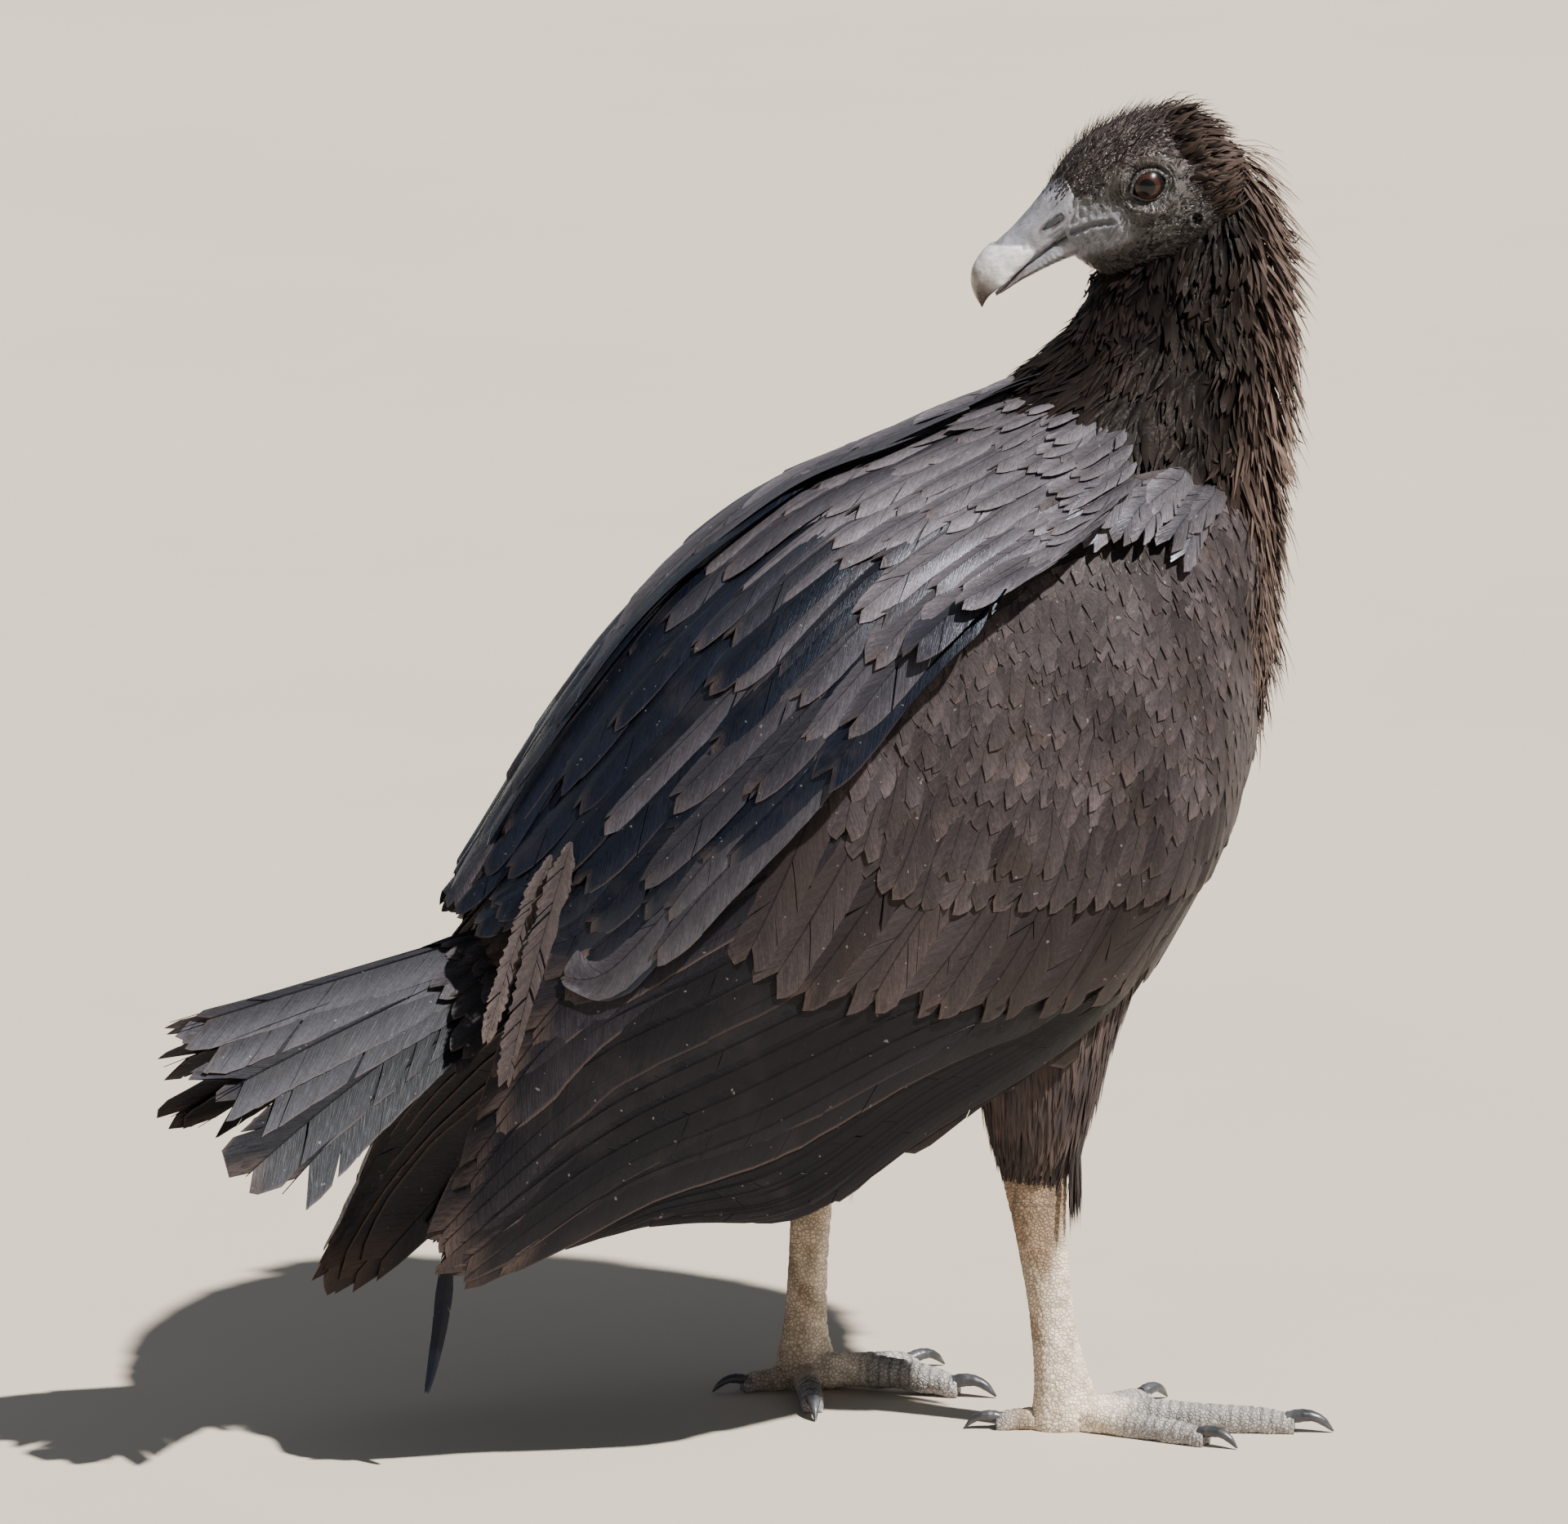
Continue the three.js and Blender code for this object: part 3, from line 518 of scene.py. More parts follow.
def joined(base, others, operation="UNION"):
    """The base object united with the others, or cut by them, as a new mesh. The others go."""
    for other in others:
        cut = base.modifiers.new(other.name, "BOOLEAN")
        cut.operation = operation
        cut.solver = "MANIFOLD"
        cut.object = other
    bpy.context.view_layer.update()
    mesh = bpy.data.meshes.new_from_object(base.evaluated_get(bpy.context.evaluated_depsgraph_get()))
    base.modifiers.clear()
    base.data = mesh
    for other in others:
        bpy.data.objects.remove(other)
    return base


def add_colours(mesh, label, colour):
    layer = mesh.color_attributes.new(label, "FLOAT_COLOR", "POINT")
    layer.data.foreach_set("color", colour.astype(np.float32).ravel())


def add_map(mesh, label, uv, corners):
    layer = mesh.uv_layers.new(name=label)
    layer.data.foreach_set("uv", uv[corners].astype(np.float32).ravel())


def paint(made, tint_of):
    """Smooths an object all over and tints its points by their places in millimetres."""
    made.data.polygons.foreach_set("use_smooth", np.ones(len(made.data.polygons), bool))
    add_colours(made.data, "Tint", tint_of(points_of(made)))


def finish(made, slot, looks, *nodes):
    """Gives a piece its materials and the nodes that it stands for, and lets it ride. slot is not used."""
    made.data.materials.clear()
    for look in looks if isinstance(looks, list) else [looks]:
        made.data.materials.append(look)
    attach(made, "root")
    if nodes:
        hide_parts(*nodes)
    return made


# ---------------------------------------------------------------- feathers
class Area(namedtuple("Area", "low high start end", defaults=(0.02, 0.98))):
    """The range of a surface's places, and the part of the unwrap that its feathers take."""

    def patches(self, root, spot):
        """Each feather's patch of the unwrap, at the place of its root."""
        low, high, start, end = (np.array(v, float) for v in self)
        at = start + (np.clip((root - low) / (high - low), 0, 1)) * (end - start)
        return at[:, None] + (spot - 0.5) * PATCH


# How a kind of feather is built. A vane has webs on each side of its shaft, each with rows of barbs
# and columns along a barb. Heights are millimetres above the surface that it lies on.
Kind = namedtuple(
    "Kind",
    "webs rows columns sweep grow fall point arch depth split fray wave ragged",
    defaults=(1, 5, 2, 0.9, 0.3, 0.6, 2.0, 0.09, 0.5, 0.0, 0.03, 0.25, 0.012),
)
REMEX = Kind(webs=7, rows=5, columns=3, sweep=1.25, grow=0.16, fall=0.86, point=2.2, arch=0.10,
             depth=0.8, split=0.16, fray=0.03, wave=0.35)
PRIMARY = REMEX._replace(fall=0.6, point=1.7)
RECTRIX = REMEX._replace(webs=8, fall=0.93, point=2.0, split=0.16, fray=0.03, sweep=1.5, ragged=0.06)
SCAPULAR = Kind(webs=6, rows=4, columns=3, sweep=1.6, grow=0.25, fall=0.80, point=1.8, arch=0.22,
                depth=0.7, split=0.12, fray=0.03, wave=0.7, ragged=0.02)
MANTLE = SCAPULAR._replace(webs=3, fall=0.72, sweep=1.5, arch=0.12)
COVERT = Kind(webs=4, rows=4, columns=3, sweep=1.8, grow=0.25, fall=0.78, point=2.2, arch=0.14,
              depth=0.6, split=0.07, fray=0.04, wave=0.35, ragged=0.02)
LESSER = Kind(webs=2, rows=4, columns=2, sweep=2.1, grow=0.3, fall=0.64, point=2.0, arch=0.06,
              depth=0.5, split=0.05, fray=0.07, wave=0.15, ragged=0.04)
CONTOUR = Kind(webs=1, rows=5, columns=2, sweep=2.0, grow=0.3, fall=0.5, point=2.0, arch=0.12,
               depth=0.5, split=0, fray=0.14, wave=0.3, ragged=0.08)


class Coat:
    """The feathers of one piece, gathered as arrays before they're joined in one mesh."""

    def __init__(self):
        self.points, self.faces, self.vanes, self.places, self.tints, self.count = [], {}, [], [], [], 0

    def add(self, points, faces, across, along, long, root, area, tint):
        """points (n, m, 3) for n feathers; faces, arrays of numbers under m; across and along, the
        shares of a barb and of the feather at each point; long, root and tint, each feather's
        length, place and colour."""
        n, m = points.shape[:2]
        start = self.count + m * np.arange(n)
        for f in faces:
            whole = (start[:, None, None] + f[None]).reshape(-1, f.shape[1])
            self.faces.setdefault(f.shape[1], []).append(whole)
        vane = np.stack(np.broadcast_arrays(across, along, long[:, None] + np.zeros((1, m))), -1)
        self.points.append(points.reshape(-1, 3))
        self.vanes.append(vane.reshape(-1, 3))
        self.places.append(area.patches(root, vane[..., :2]).reshape(-1, 2))
        self.tints.append(np.repeat(tint, m, 0))
        self.count += n * m

    def object(self, name):
        vane = np.concatenate(self.vanes)
        size = np.repeat(vane[:, 2:3] / 100, 4, 1)
        return make_mesh(
            name,
            np.concatenate(self.points),
            [np.concatenate(f) for f in self.faces.values()],
            maps=(("OFBake", np.concatenate(self.places)), ("Vane", vane[:, :2])),
            tints=(("Tint", np.concatenate(self.tints)), ("Size", size)),
            sharp=50,
        )


def slopes(face, p, q):
    """A surface's moves for each unit of its two places, by central differences."""
    h = NUDGE
    return (face(p + h, q) - face(p - h, q)) / (2 * h), (face(p, q + h) - face(p, q - h)) / (2 * h)


def step_of(da, db, way):
    """The moves of place that carry a point along a vector of space, as near as the surface lets:
    the solution of the 2 x 2 normal equations."""
    e, f, g = dot(da, da), dot(da, db), dot(db, db)
    x, y = dot(way, da), dot(way, db)
    det = np.maximum(e * g - f * f, 1e-6)
    return np.stack([(g * x - f * y) / det, (e * y - f * x) / det], -1)


def flow(face, place, way, mm):
    """Places that many millimetres away along a surface, in the direction of a vector of space."""
    da, db = slopes(face, *place.T)
    step = step_of(da, db, way)
    length = np.linalg.norm(step[:, :1] * da + step[:, 1:] * db, axis=-1)
    return place + step * (np.asarray(mm) / np.maximum(length, 1e-3))[:, None]


def paths(face, out, root, tip, bend=0.0, count=11):
    """Each feather's line over a surface from its root to its tip, at equal steps, which swerves by
    bend times its length: the places, the normals there, the move of place for each millimetre
    sideways, and the line's length."""
    s = np.linspace(-RUN_ON, 1 + RUN_ON, count)
    way = tip - root
    aside = np.stack([-way[:, 1], way[:, 0]], 1) * np.reshape(bend, (-1, 1))
    place = root[:, None] + way[:, None] * s[:, None] + aside[:, None] * (4 * s * (1 - s))[:, None]
    p, q = place[..., 0], place[..., 1]
    da, db = slopes(face, p, q)
    at = face(p, q)
    normal = out * unit(np.cross(da, db))
    along = unit(np.gradient(at, axis=1))
    sideways = step_of(da, db, unit(np.cross(normal, along)))
    length = np.linalg.norm(np.diff(at, axis=1), axis=-1).sum(1) / (1 + 2 * RUN_ON)
    return place, normal, sideways, length


def settle(face, path, s, x, height):
    """Points of each feather at share s of its line, x millimetres aside over the surface, and that
    high above it."""
    place, normal, sideways, _ = path
    s, x, height = np.broadcast_arrays(s, x, height)
    count = place.shape[1]
    at = np.clip((s + RUN_ON) / (1 + 2 * RUN_ON), 0, 1) * (count - 1)
    i = np.minimum(at.astype(int), count - 2)[..., None]
    w = at[..., None] - i
    blend = lambda v: np.take_along_axis(v, i, 1) * (1 - w) + np.take_along_axis(v, i + 1, 1) * w
    here = blend(place) + blend(sideways) * x[..., None]
    return face(here[..., 0], here[..., 1]) + unit(blend(normal)) * height[..., None]


def outline(e, kind):
    """A vane's half width at share e of its length, as a share of its widest: it grows from the
    quill, and closes in an arc from kind.fall to the tip."""
    up = np.clip(e / kind.grow, 0, 1) ** 0.7
    down = 1 - np.clip((e - kind.fall) / (1 - kind.fall), 0, 1) ** kind.point
    return 0.1 + 0.9 * up * np.sqrt(down)


def spread(value, n):
    """A number or an array of n numbers as an array of n."""
    return np.broadcast_to(np.asarray(value, float), (n,))


def curled(curl, s):
    """How far a feather bends up at share s of its length: not at all up to 0.6, then faster."""
    return curl * np.maximum(s - 0.6, 0) ** 2 * 6


def lay(coat, face, out, root, tip, half, kind, rng, tint, base=0.0, lift=1.0, tilt=0.0, bend=0.0,
        lean=1.0, area=None, curl=0.0):
    """Lays vanes on a surface. Each barb runs from the shaft at share e - sweep x half / length to
    the outline at e; splits part a vane's webs; base and lift set how high its root and tip stand,
    tilt how much higher its left edge is for each millimetre, curl how far its tip bends up, and
    lean how much narrower the right half is than the left."""
    n = len(root)
    half, base, lift, tilt, lean, curl = (spread(v, n) for v in (half, base, lift, tilt, lean, curl))
    each = lambda v: v[:, None, None, None]
    path = paths(face, out, root, tip, spread(bend, n))
    length = path[3]
    rows, columns, webs = kind.rows + 1, kind.columns + 2, kind.webs
    shape = (n, webs * rows * columns)
    q = np.append(0, np.linspace(0, 1, kind.columns + 1))
    under = np.append(1, np.zeros(kind.columns + 1))
    wobble = rng.uniform(0, 2 * np.pi, n)
    for side in (-1, 1):
        moved = np.pad(rng.uniform(-0.3, 0.3, (n, webs - 1)), ((0, 0), (1, 1))) / webs
        cuts = np.linspace(0, 1, webs + 1) + moved
        r = 1 - (1 - np.linspace(0, 1, rows)) ** 1.3
        e = cuts[:, :-1, None] + np.diff(cuts)[:, :, None] * r
        e = e - kind.ragged * rng.random(e.shape) * step_up(e, 0.75, 0.97)
        width = half * np.where(side > 0, 1.0, lean)
        fray = 1 + kind.fray * rng.uniform(-1, 0.6, e.shape)
        reach = width[:, None, None] * outline(e, kind) * fray
        shaft = np.maximum(e - kind.sweep * reach / length[:, None, None], 0.5 * e)
        torn = kind.split * np.linspace(0.2, 1.6, webs)[:, None]
        gap = np.where(rng.random((n, webs, 1)) < torn, rng.uniform(0.1, 0.5, (n, webs, 1)), 0.008)
        gap = gap * (width / length)[:, None, None] * (1 - r) ** 1.5
        gap[:, 0] = 0
        s = shaft[..., None] + (e - shaft + gap)[..., None] * q ** 1.1
        x = side * reach[..., None] * q * (1 - 0.06 * gap[..., None] * q)
        arch = kind.arch * each(width) * (1 - (q * 0.9 + 0.1) ** 2)
        sway = kind.wave * np.sin(5 * s + each(wobble)) * q
        high = each(base) + each(lift) * s + arch + sway + each(tilt) * x - kind.depth * under
        high = high + curled(each(curl), s)
        points = settle(face, path, s.reshape(shape), x.reshape(shape), high.reshape(shape))
        ring = tube_faces(rows, columns, flip=side < 0)
        faces = [np.concatenate([f + w * rows * columns for w in range(webs)]) for f in ring]
        across = np.broadcast_to(0.5 + 0.5 * side * q, s.shape).reshape(shape)
        along = np.broadcast_to(e[..., None], s.shape).reshape(shape)
        coat.add(points, faces, across, along, length, root, area, tint)


def lay_locks(coat, face, root, tip, half, tint, base, lift, bend=0.0, area=None, rings=4, depth=0.4,
              twist=0.0):
    """Lays narrow pointed locks on a surface: a ridged tube of three sides, widest at share swell
    of its length, whose rings shrink to a point at the tip."""
    n, swell = len(root), 0.35
    half, lift, twist = (spread(v, n)[:, None] for v in (half, lift, twist))
    path = paths(face, 1, root, tip, spread(bend, n), count=7)
    e = np.repeat(np.linspace(0, 1, rings + 1)[:-1], 3)
    x, up = np.tile([-1, 0, 1], rings), np.tile([0, 1, 0], rings)
    wide = np.where(e < swell, 0.45 + 0.55 * e / swell, ((1 - e) / (1 - swell)) ** 0.8)
    high = base + lift * e + depth * half * (up + twist * x * 0.6) * wide
    along, aside = np.append(e, 1), np.pad(half * x * wide, ((0, 0), (0, 1)))
    points = settle(face, path, along, aside, np.concatenate([high, base + lift], 1))
    quads, ends = tube_faces(rings, 3)
    last, j = 3 * (rings - 1), np.arange(3)
    point = np.stack([last + j, np.full(3, 3 * rings), last + (j + 1) % 3], -1)
    coat.add(points, [quads, np.concatenate([ends[:1], point])], 0.5 + 0.5 * np.append(x, 0), along,
             path[3], root, area, tint)


def lay_shafts(coat, face, out, root, tip, half, kind, tint, base, lift, bend, area, width):
    """Lays a raised shaft along the middle of each vane: a three-sided tube that tapers to the
    tip."""
    n, rings = len(root), 12
    path = paths(face, out, root, tip, spread(bend, n))
    e = np.repeat(np.linspace(0.0, 0.97, rings), 3)
    x, up = np.tile([-1, 0, 1], rings), np.tile([-0.4, 0.75, -0.4], rings)
    thin = width * (1.05 - 0.85 * e)
    high = spread(base, n)[:, None] + spread(lift, n)[:, None] * e + kind.arch * half * 0.99 + thin * up
    points = settle(face, path, e, x * thin, high)
    coat.add(points, tube_faces(rings, 3), np.array(0.5), e, path[3], root, area, tint)


def strung(face, line, gap, rng, jitter=0.2, offset=0.0):
    """Places about that many millimetres apart along a finely drawn line on a surface."""
    steps = np.linalg.norm(np.diff(face(*line.T), axis=0), axis=-1)
    long = np.concatenate([[0], np.cumsum(steps)])
    count = max(int(long[-1] / gap), 2)
    at = (np.arange(count) + 0.5 + offset + rng.uniform(-jitter, jitter, count)) / count * long[-1]
    return np.stack([np.interp(at, long, line[:, k]) for k in (0, 1)], -1)


def row(roots, tips, count, rng, jitter=0.25, wander=0.012):
    """Roots and tips of count feathers, evenly along two curves with a little disorder."""
    f = (np.arange(count) + 0.5 + rng.uniform(-jitter, jitter, count)) / count
    root, tip = smooth(roots, f), smooth(tips, f)
    shift = rng.normal(0, wander, (count, 2))
    return f, root + shift, tip + shift * rng.uniform(0.5, 1.5, (count, 1))


def shade(base, n, rng, vary=0.15, other=None, share=0.0, trim=0.3):
    """Tints of n feathers: a colour with some variation in depth, mixed by share with another
    colour, and as alpha how strong the pale trim at each tip is."""
    colour = np.array(base, float)[None, :3]
    if other is not None:
        share = np.clip(spread(share, n), 0, 1)[:, None]
        colour = colour * (1 - share) + np.array(other, float)[None, :3] * share
    colour = np.broadcast_to(colour, (n, 3)) * np.exp(rng.normal(0, vary, (n, 1)))
    return np.concatenate([colour, spread(trim, n)[:, None] * rng.uniform(0.4, 1.0, (n, 1))], 1)


# ---------------------------------------------------------------- finishes
class Look:
    """A material while it's built. Every input takes either a value or another node's output."""

    def __init__(self, name, **fixed):
        self.material = bpy.data.materials.new(name)
        self.material.use_nodes = True
        self.tree = self.material.node_tree
        self.shader = self.tree.nodes["Principled BSDF"]
        self.feed(self.shader, fixed)
        self.here = self.put("ShaderNodeTexCoord").outputs["Object"]

    def feed(self, node, inputs):
        """Joins or sets a node's inputs, given by their names or numbers."""
        for key, value in inputs.items():
            socket = node.inputs[key.replace("_", " ") if isinstance(key, str) else key]
            if isinstance(value, bpy.types.NodeSocket):
                self.tree.links.new(value, socket)
            elif socket.type == "RGBA":
                socket.default_value = (*value[:3], 1)
            else:
                socket.default_value = value

    def put(self, kind, settings=None, **inputs):
        made = self.tree.nodes.new(kind)
        for name, value in (settings or {}).items():
            setattr(made, name, value)
        self.feed(made, inputs)
        return made

    def calc(self, operation, *values):
        made = self.put("ShaderNodeMath", {"operation": operation})
        self.feed(made, dict(enumerate(values)))
        return made.outputs[0]

    def times(self, value, *others):
        for other in others:
            value = self.calc("MULTIPLY", value, other)
        return value

    def ramp(self, value, low, high, start=0.0, end=1.0):
        """start where the value is low, end where it is high, and a smooth step between."""
        return self.put("ShaderNodeMapRange", {"interpolation_type": "SMOOTHSTEP"}, Value=value,
                        From_Min=low, From_Max=high, To_Min=start, To_Max=end).outputs[0]

    def vary(self, value, start, end):
        """The same step over the range from 0.3 to 0.7, in which most of a noise lies."""
        return self.ramp(value, 0.3, 0.7, start, end)

    def mix(self, factor, a, b, way="MIX"):
        made = self.put("ShaderNodeMix", {"data_type": "RGBA", "blend_type": way})
        self.feed(made, {0: factor, 6: a, 7: b})
        return made.outputs[2]

    def vector(self, x, y, z=0.0):
        return self.put("ShaderNodeCombineXYZ", X=x, Y=y, Z=z).outputs[0]

    def dimmed(self, colour, factor):
        """A colour times a number."""
        return self.mix(1.0, colour, self.vector(factor, factor, factor), "MULTIPLY")

    def noise(self, scale, detail, rough=0.6, at=None):
        where = self.here if at is None else at
        return self.put("ShaderNodeTexNoise", Vector=where, Scale=scale, Detail=detail,
                        Roughness=rough).outputs[0]

    def attribute(self, name):
        return self.put("ShaderNodeAttribute", {"attribute_name": name}).outputs

    def map_parts(self, name):
        """A UV map, as a vector and as its two numbers."""
        flat = self.put("ShaderNodeUVMap", {"uv_map": name}).outputs[0]
        return flat, *list(self.put("ShaderNodeSeparateXYZ", Vector=flat).outputs)[:2]

    def done(self, colour, roughness=None, relief=None, strength=1.0, depth=1.0):
        """The material, with its colour and, where it has them, its roughness and its relief of that
        depth in millimetres."""
        self.feed(self.shader, {"Base Color": colour})
        if roughness is not None:
            self.feed(self.shader, {"Roughness": roughness})
        if relief is not None:
            bump = self.put("ShaderNodeBump", Height=relief, Strength=strength, Distance=depth * MM)
            self.feed(self.shader, {"Normal": bump.outputs[0]})
        return self.material


def vane_finish(name, worn, roughness=0.42, gloss=0.4, sheen=0.03, sheen_tint=(0.6, 0.7, 1),
                barbs=0.6, glint=0.5, rim=0.6, tone_and_shade=0.3):
    """Feather: the piece's tint, streaked along its barbs, with a dark shaft line, painted shade near the
    shaft where the next feather covers the vane, painted highlight towards the edges and the tip, a pale
    trim from share rim to the tip, worn brown patches a few centimetres across, and glints on its barbs."""
    look = Look(name, Specular_IOR_Level=gloss, Specular_Tint=sheen_tint, Sheen_Weight=sheen,
                Sheen_Roughness=0.35, Sheen_Tint=sheen_tint)
    tint = look.attribute("Tint")
    _, across, share = look.map_parts("Vane")
    barb = look.calc("ABSOLUTE", look.calc("MULTIPLY_ADD", across, 2.0, -1.0))
    streaks_at = look.vector(look.times(across, 0.03), look.times(share, look.attribute("Size")["Fac"]))
    fine = look.noise(170, 2, at=streaks_at)
    broad = look.noise(26, 2, 0.5, streaks_at)
    speck = look.noise(700, 2)
    # The last two factors paint shade near the shaft, where the neighbouring feather covers the vane, and
    # highlight towards the edges and the tip.
    streak = look.times(
        look.vary(fine, 0.66, 1.4), look.vary(broad, 0.78, 1.22), look.vary(speck, 0.8, 1.2),
        look.ramp(barb, 0.2, 1.0, 1 - tone_and_shade, 1 + tone_and_shade),
        look.ramp(share, 0.4, 1.0, 1 - 0.5 * tone_and_shade, 1 + 0.5 * tone_and_shade),
    )
    colour = look.mix(barbs, tint["Color"], look.dimmed(tint["Color"], streak))
    patches = look.ramp(look.noise(38, 3, 0.55), 0.5, 0.72)
    colour = look.mix(look.times(patches, 0.4), colour, worn)
    colour = look.mix(look.ramp(look.noise(420, 1, 0.5), 0.755, 0.785, 0.0, 0.3), colour, DUST)
    edge = look.calc("MAXIMUM", look.ramp(barb, 0.9, 1.0), look.ramp(share, 0.96, 1.0))
    edge = look.times(edge, look.ramp(share, rim, rim + 0.3), look.ramp(fine, 0.25, 0.6, 0.4, 1.0))
    colour = look.mix(look.times(edge, tint["Alpha"]), colour, colours().rust)
    shaft = look.ramp(barb, 0.03, 0.05, 0.45, 1.0)
    relief = look.calc("ADD", look.calc("ADD", look.times(fine, 1.4), look.times(speck, 0.5)), broad)
    rough = look.ramp(fine, 0.3, 0.75, roughness - 0.10, roughness + 0.16)
    return look.done(look.dimmed(colour, shaft), rough, relief, glint, 0.22)


def lock_finish(name, roughness, gloss, sheen, sheen_tint=(0.7, 0.7, 0.8), scale=45):
    """Hackle, lock or bristle: the piece's tint with mottling, paler towards the point by the tint's
    alpha."""
    look = Look(name, Specular_IOR_Level=gloss, Specular_Tint=sheen_tint, Sheen_Weight=sheen,
                Sheen_Roughness=0.4, Sheen_Tint=sheen_tint)
    tint = look.attribute("Tint")
    share = look.map_parts("Vane")[2]
    fine = look.noise(900, 2)
    colour = look.dimmed(tint["Color"], look.vary(look.noise(scale, 3), 0.6, 1.35))
    colour = look.mix(look.times(look.ramp(share, 0.45, 1.0), tint["Alpha"]), colour, colours().rust)
    return look.done(colour, look.vary(fine, roughness - 0.08, roughness + 0.12), fine, 0.35, 0.15)


def skin_finish(name, cell, roughness, depth, gloss=0.5, mottle=0.35, dust=(0.1, 0.08, 0.06)):
    """Bare skin: the piece's tint, mottled, with fine pebbling of cells that size in millimetres
    and painted shade in the creases between them."""
    look = Look(name, Specular_IOR_Level=gloss)
    wobble = look.put("ShaderNodeTexNoise", Vector=look.here, Scale=260.0, Detail=2.0).outputs["Color"]
    warped = look.put("ShaderNodeVectorMath", {"operation": "MULTIPLY_ADD"})
    look.feed(warped, {0: wobble, 1: (0.9 * MM,) * 3, 2: look.here})
    cells = look.put("ShaderNodeTexVoronoi", {"feature": "DISTANCE_TO_EDGE"}, Vector=warped.outputs[0],
                     Scale=1 / (cell * MM))
    pebble = look.ramp(cells.outputs["Distance"], 0.0, 0.22)
    broad = look.noise(120, 4)
    fine = look.noise(1500, 3)
    # The pebble factor darkens each cell's rim: painted shade in the creases between the cells.
    deep = look.times(look.vary(broad, 1 - mottle, 1 + mottle), look.ramp(pebble, 0.0, 1.0, 0.62, 1.08),
                      look.ramp(fine, 0.25, 0.75, 0.82, 1.15))
    colour = look.dimmed(look.attribute("Tint")["Color"], deep)
    colour = look.mix(look.times(look.ramp(broad, 0.55, 0.75), 0.35), colour, dust)
    relief = look.calc("ADD", pebble, look.times(fine, 0.5))
    return look.done(colour, look.ramp(pebble, 0, 1, roughness + 0.15, roughness - 0.05), relief, 0.7, depth)


def horn_finish(name, roughness, coat=0.25, streak=(1, 14, 14), grain=0.22):
    """Horn: the piece's tint with long fine streaks, growth lines and scratches under a thin
    shine."""
    look = Look(name, Specular_IOR_Level=0.5, Coat_Weight=coat, Coat_Roughness=0.25,
                Subsurface_Weight=0.08, Subsurface_Scale=0.0015)
    stretched = look.put("ShaderNodeMapping", Vector=look.here, Scale=streak).outputs[0]
    lines = look.noise(60, 4, at=stretched)
    spots = look.noise(420, 4, 0.65)
    fine = look.noise(2200, 2)
    deep = look.times(look.vary(lines, 1 - grain, 1 + grain),
                      look.vary(spots, 1 - 0.7 * grain, 1 + 0.6 * grain))
    rough = look.calc("ADD", look.vary(spots, roughness - 0.08, roughness + 0.12), look.times(fine, 0.08))
    relief = look.calc("ADD", lines, look.times(fine, 0.4))
    return look.done(look.dimmed(look.attribute("Tint")["Color"], deep), rough, relief, 0.4, 0.18)


def eye_finish(iris, rim):
    """Eye: a black pupil, an iris with fine rays and a dark rim, all under a clear wet shine."""
    look = Look("eye_wet", Specular_IOR_Level=0.25, Coat_Weight=0.35, Coat_Roughness=0.02, Coat_IOR=1.34,
                Roughness=0.25)
    flat, x, y = look.map_parts("Gaze")
    away = look.put("ShaderNodeVectorMath", {"operation": "LENGTH"}, Vector=flat).outputs["Value"]
    turn = look.calc("ARCTAN2", y, x)
    rays_at = look.vector(look.calc("SINE", turn), look.calc("COSINE", turn), look.times(away, 0.6))
    colour = look.dimmed(iris, look.vary(look.noise(14, 3, at=rays_at), 0.55, 1.5))
    colour = look.mix(look.ramp(away, 0.66, 0.82), colour, rim)
    return look.done(look.mix(look.ramp(away, 0.41, 0.45, 1.0, 0.0), colour, PUPIL))


def floor_finish(colour):
    """Matt pale floor with a trace of grain."""
    look = Look("floor_plain", Roughness=0.85, Specular_IOR_Level=0.2)
    return look.done(look.dimmed(colour, look.vary(look.noise(3, 4), 0.97, 1.03)))


# ---------------------------------------------------------------- skin
def scales(x, y, round_count, seed):
    """Cells like scales on a lattice of offset rows: x counts cells round, which closes after
    round_count, and y counts them along. Gives how far each point is inside its own cell's border,
    and a random number for the cell."""
    rng = np.random.default_rng(seed)
    shift, number = rng.uniform(-0.28, 0.28, (LATTICE, LATTICE, 2)), rng.random((LATTICE, LATTICE))
    x, y = np.broadcast_arrays(x, y)
    near, second, kind = np.full(x.shape, 9.0), np.full(x.shape, 9.0), np.zeros(x.shape)
    for dj in (-1, 0, 1):
        j = np.floor(y).astype(int) + dj
        offset = 0.5 * (j % 2)
        for di in (-1, 0, 1):
            i = np.floor(x - offset).astype(int) + di
            cell = ((i % round_count) % LATTICE, j % LATTICE)
            d = np.hypot(x - i - 0.5 - offset - shift[cell][..., 0], y - j - 0.5 - shift[cell][..., 1])
            closer = d < near
            second = np.where(closer, near, np.minimum(second, d))
            kind = np.where(closer, number[cell], kind)
            near = np.where(closer, d, near)
    return (second - near) / 2, kind


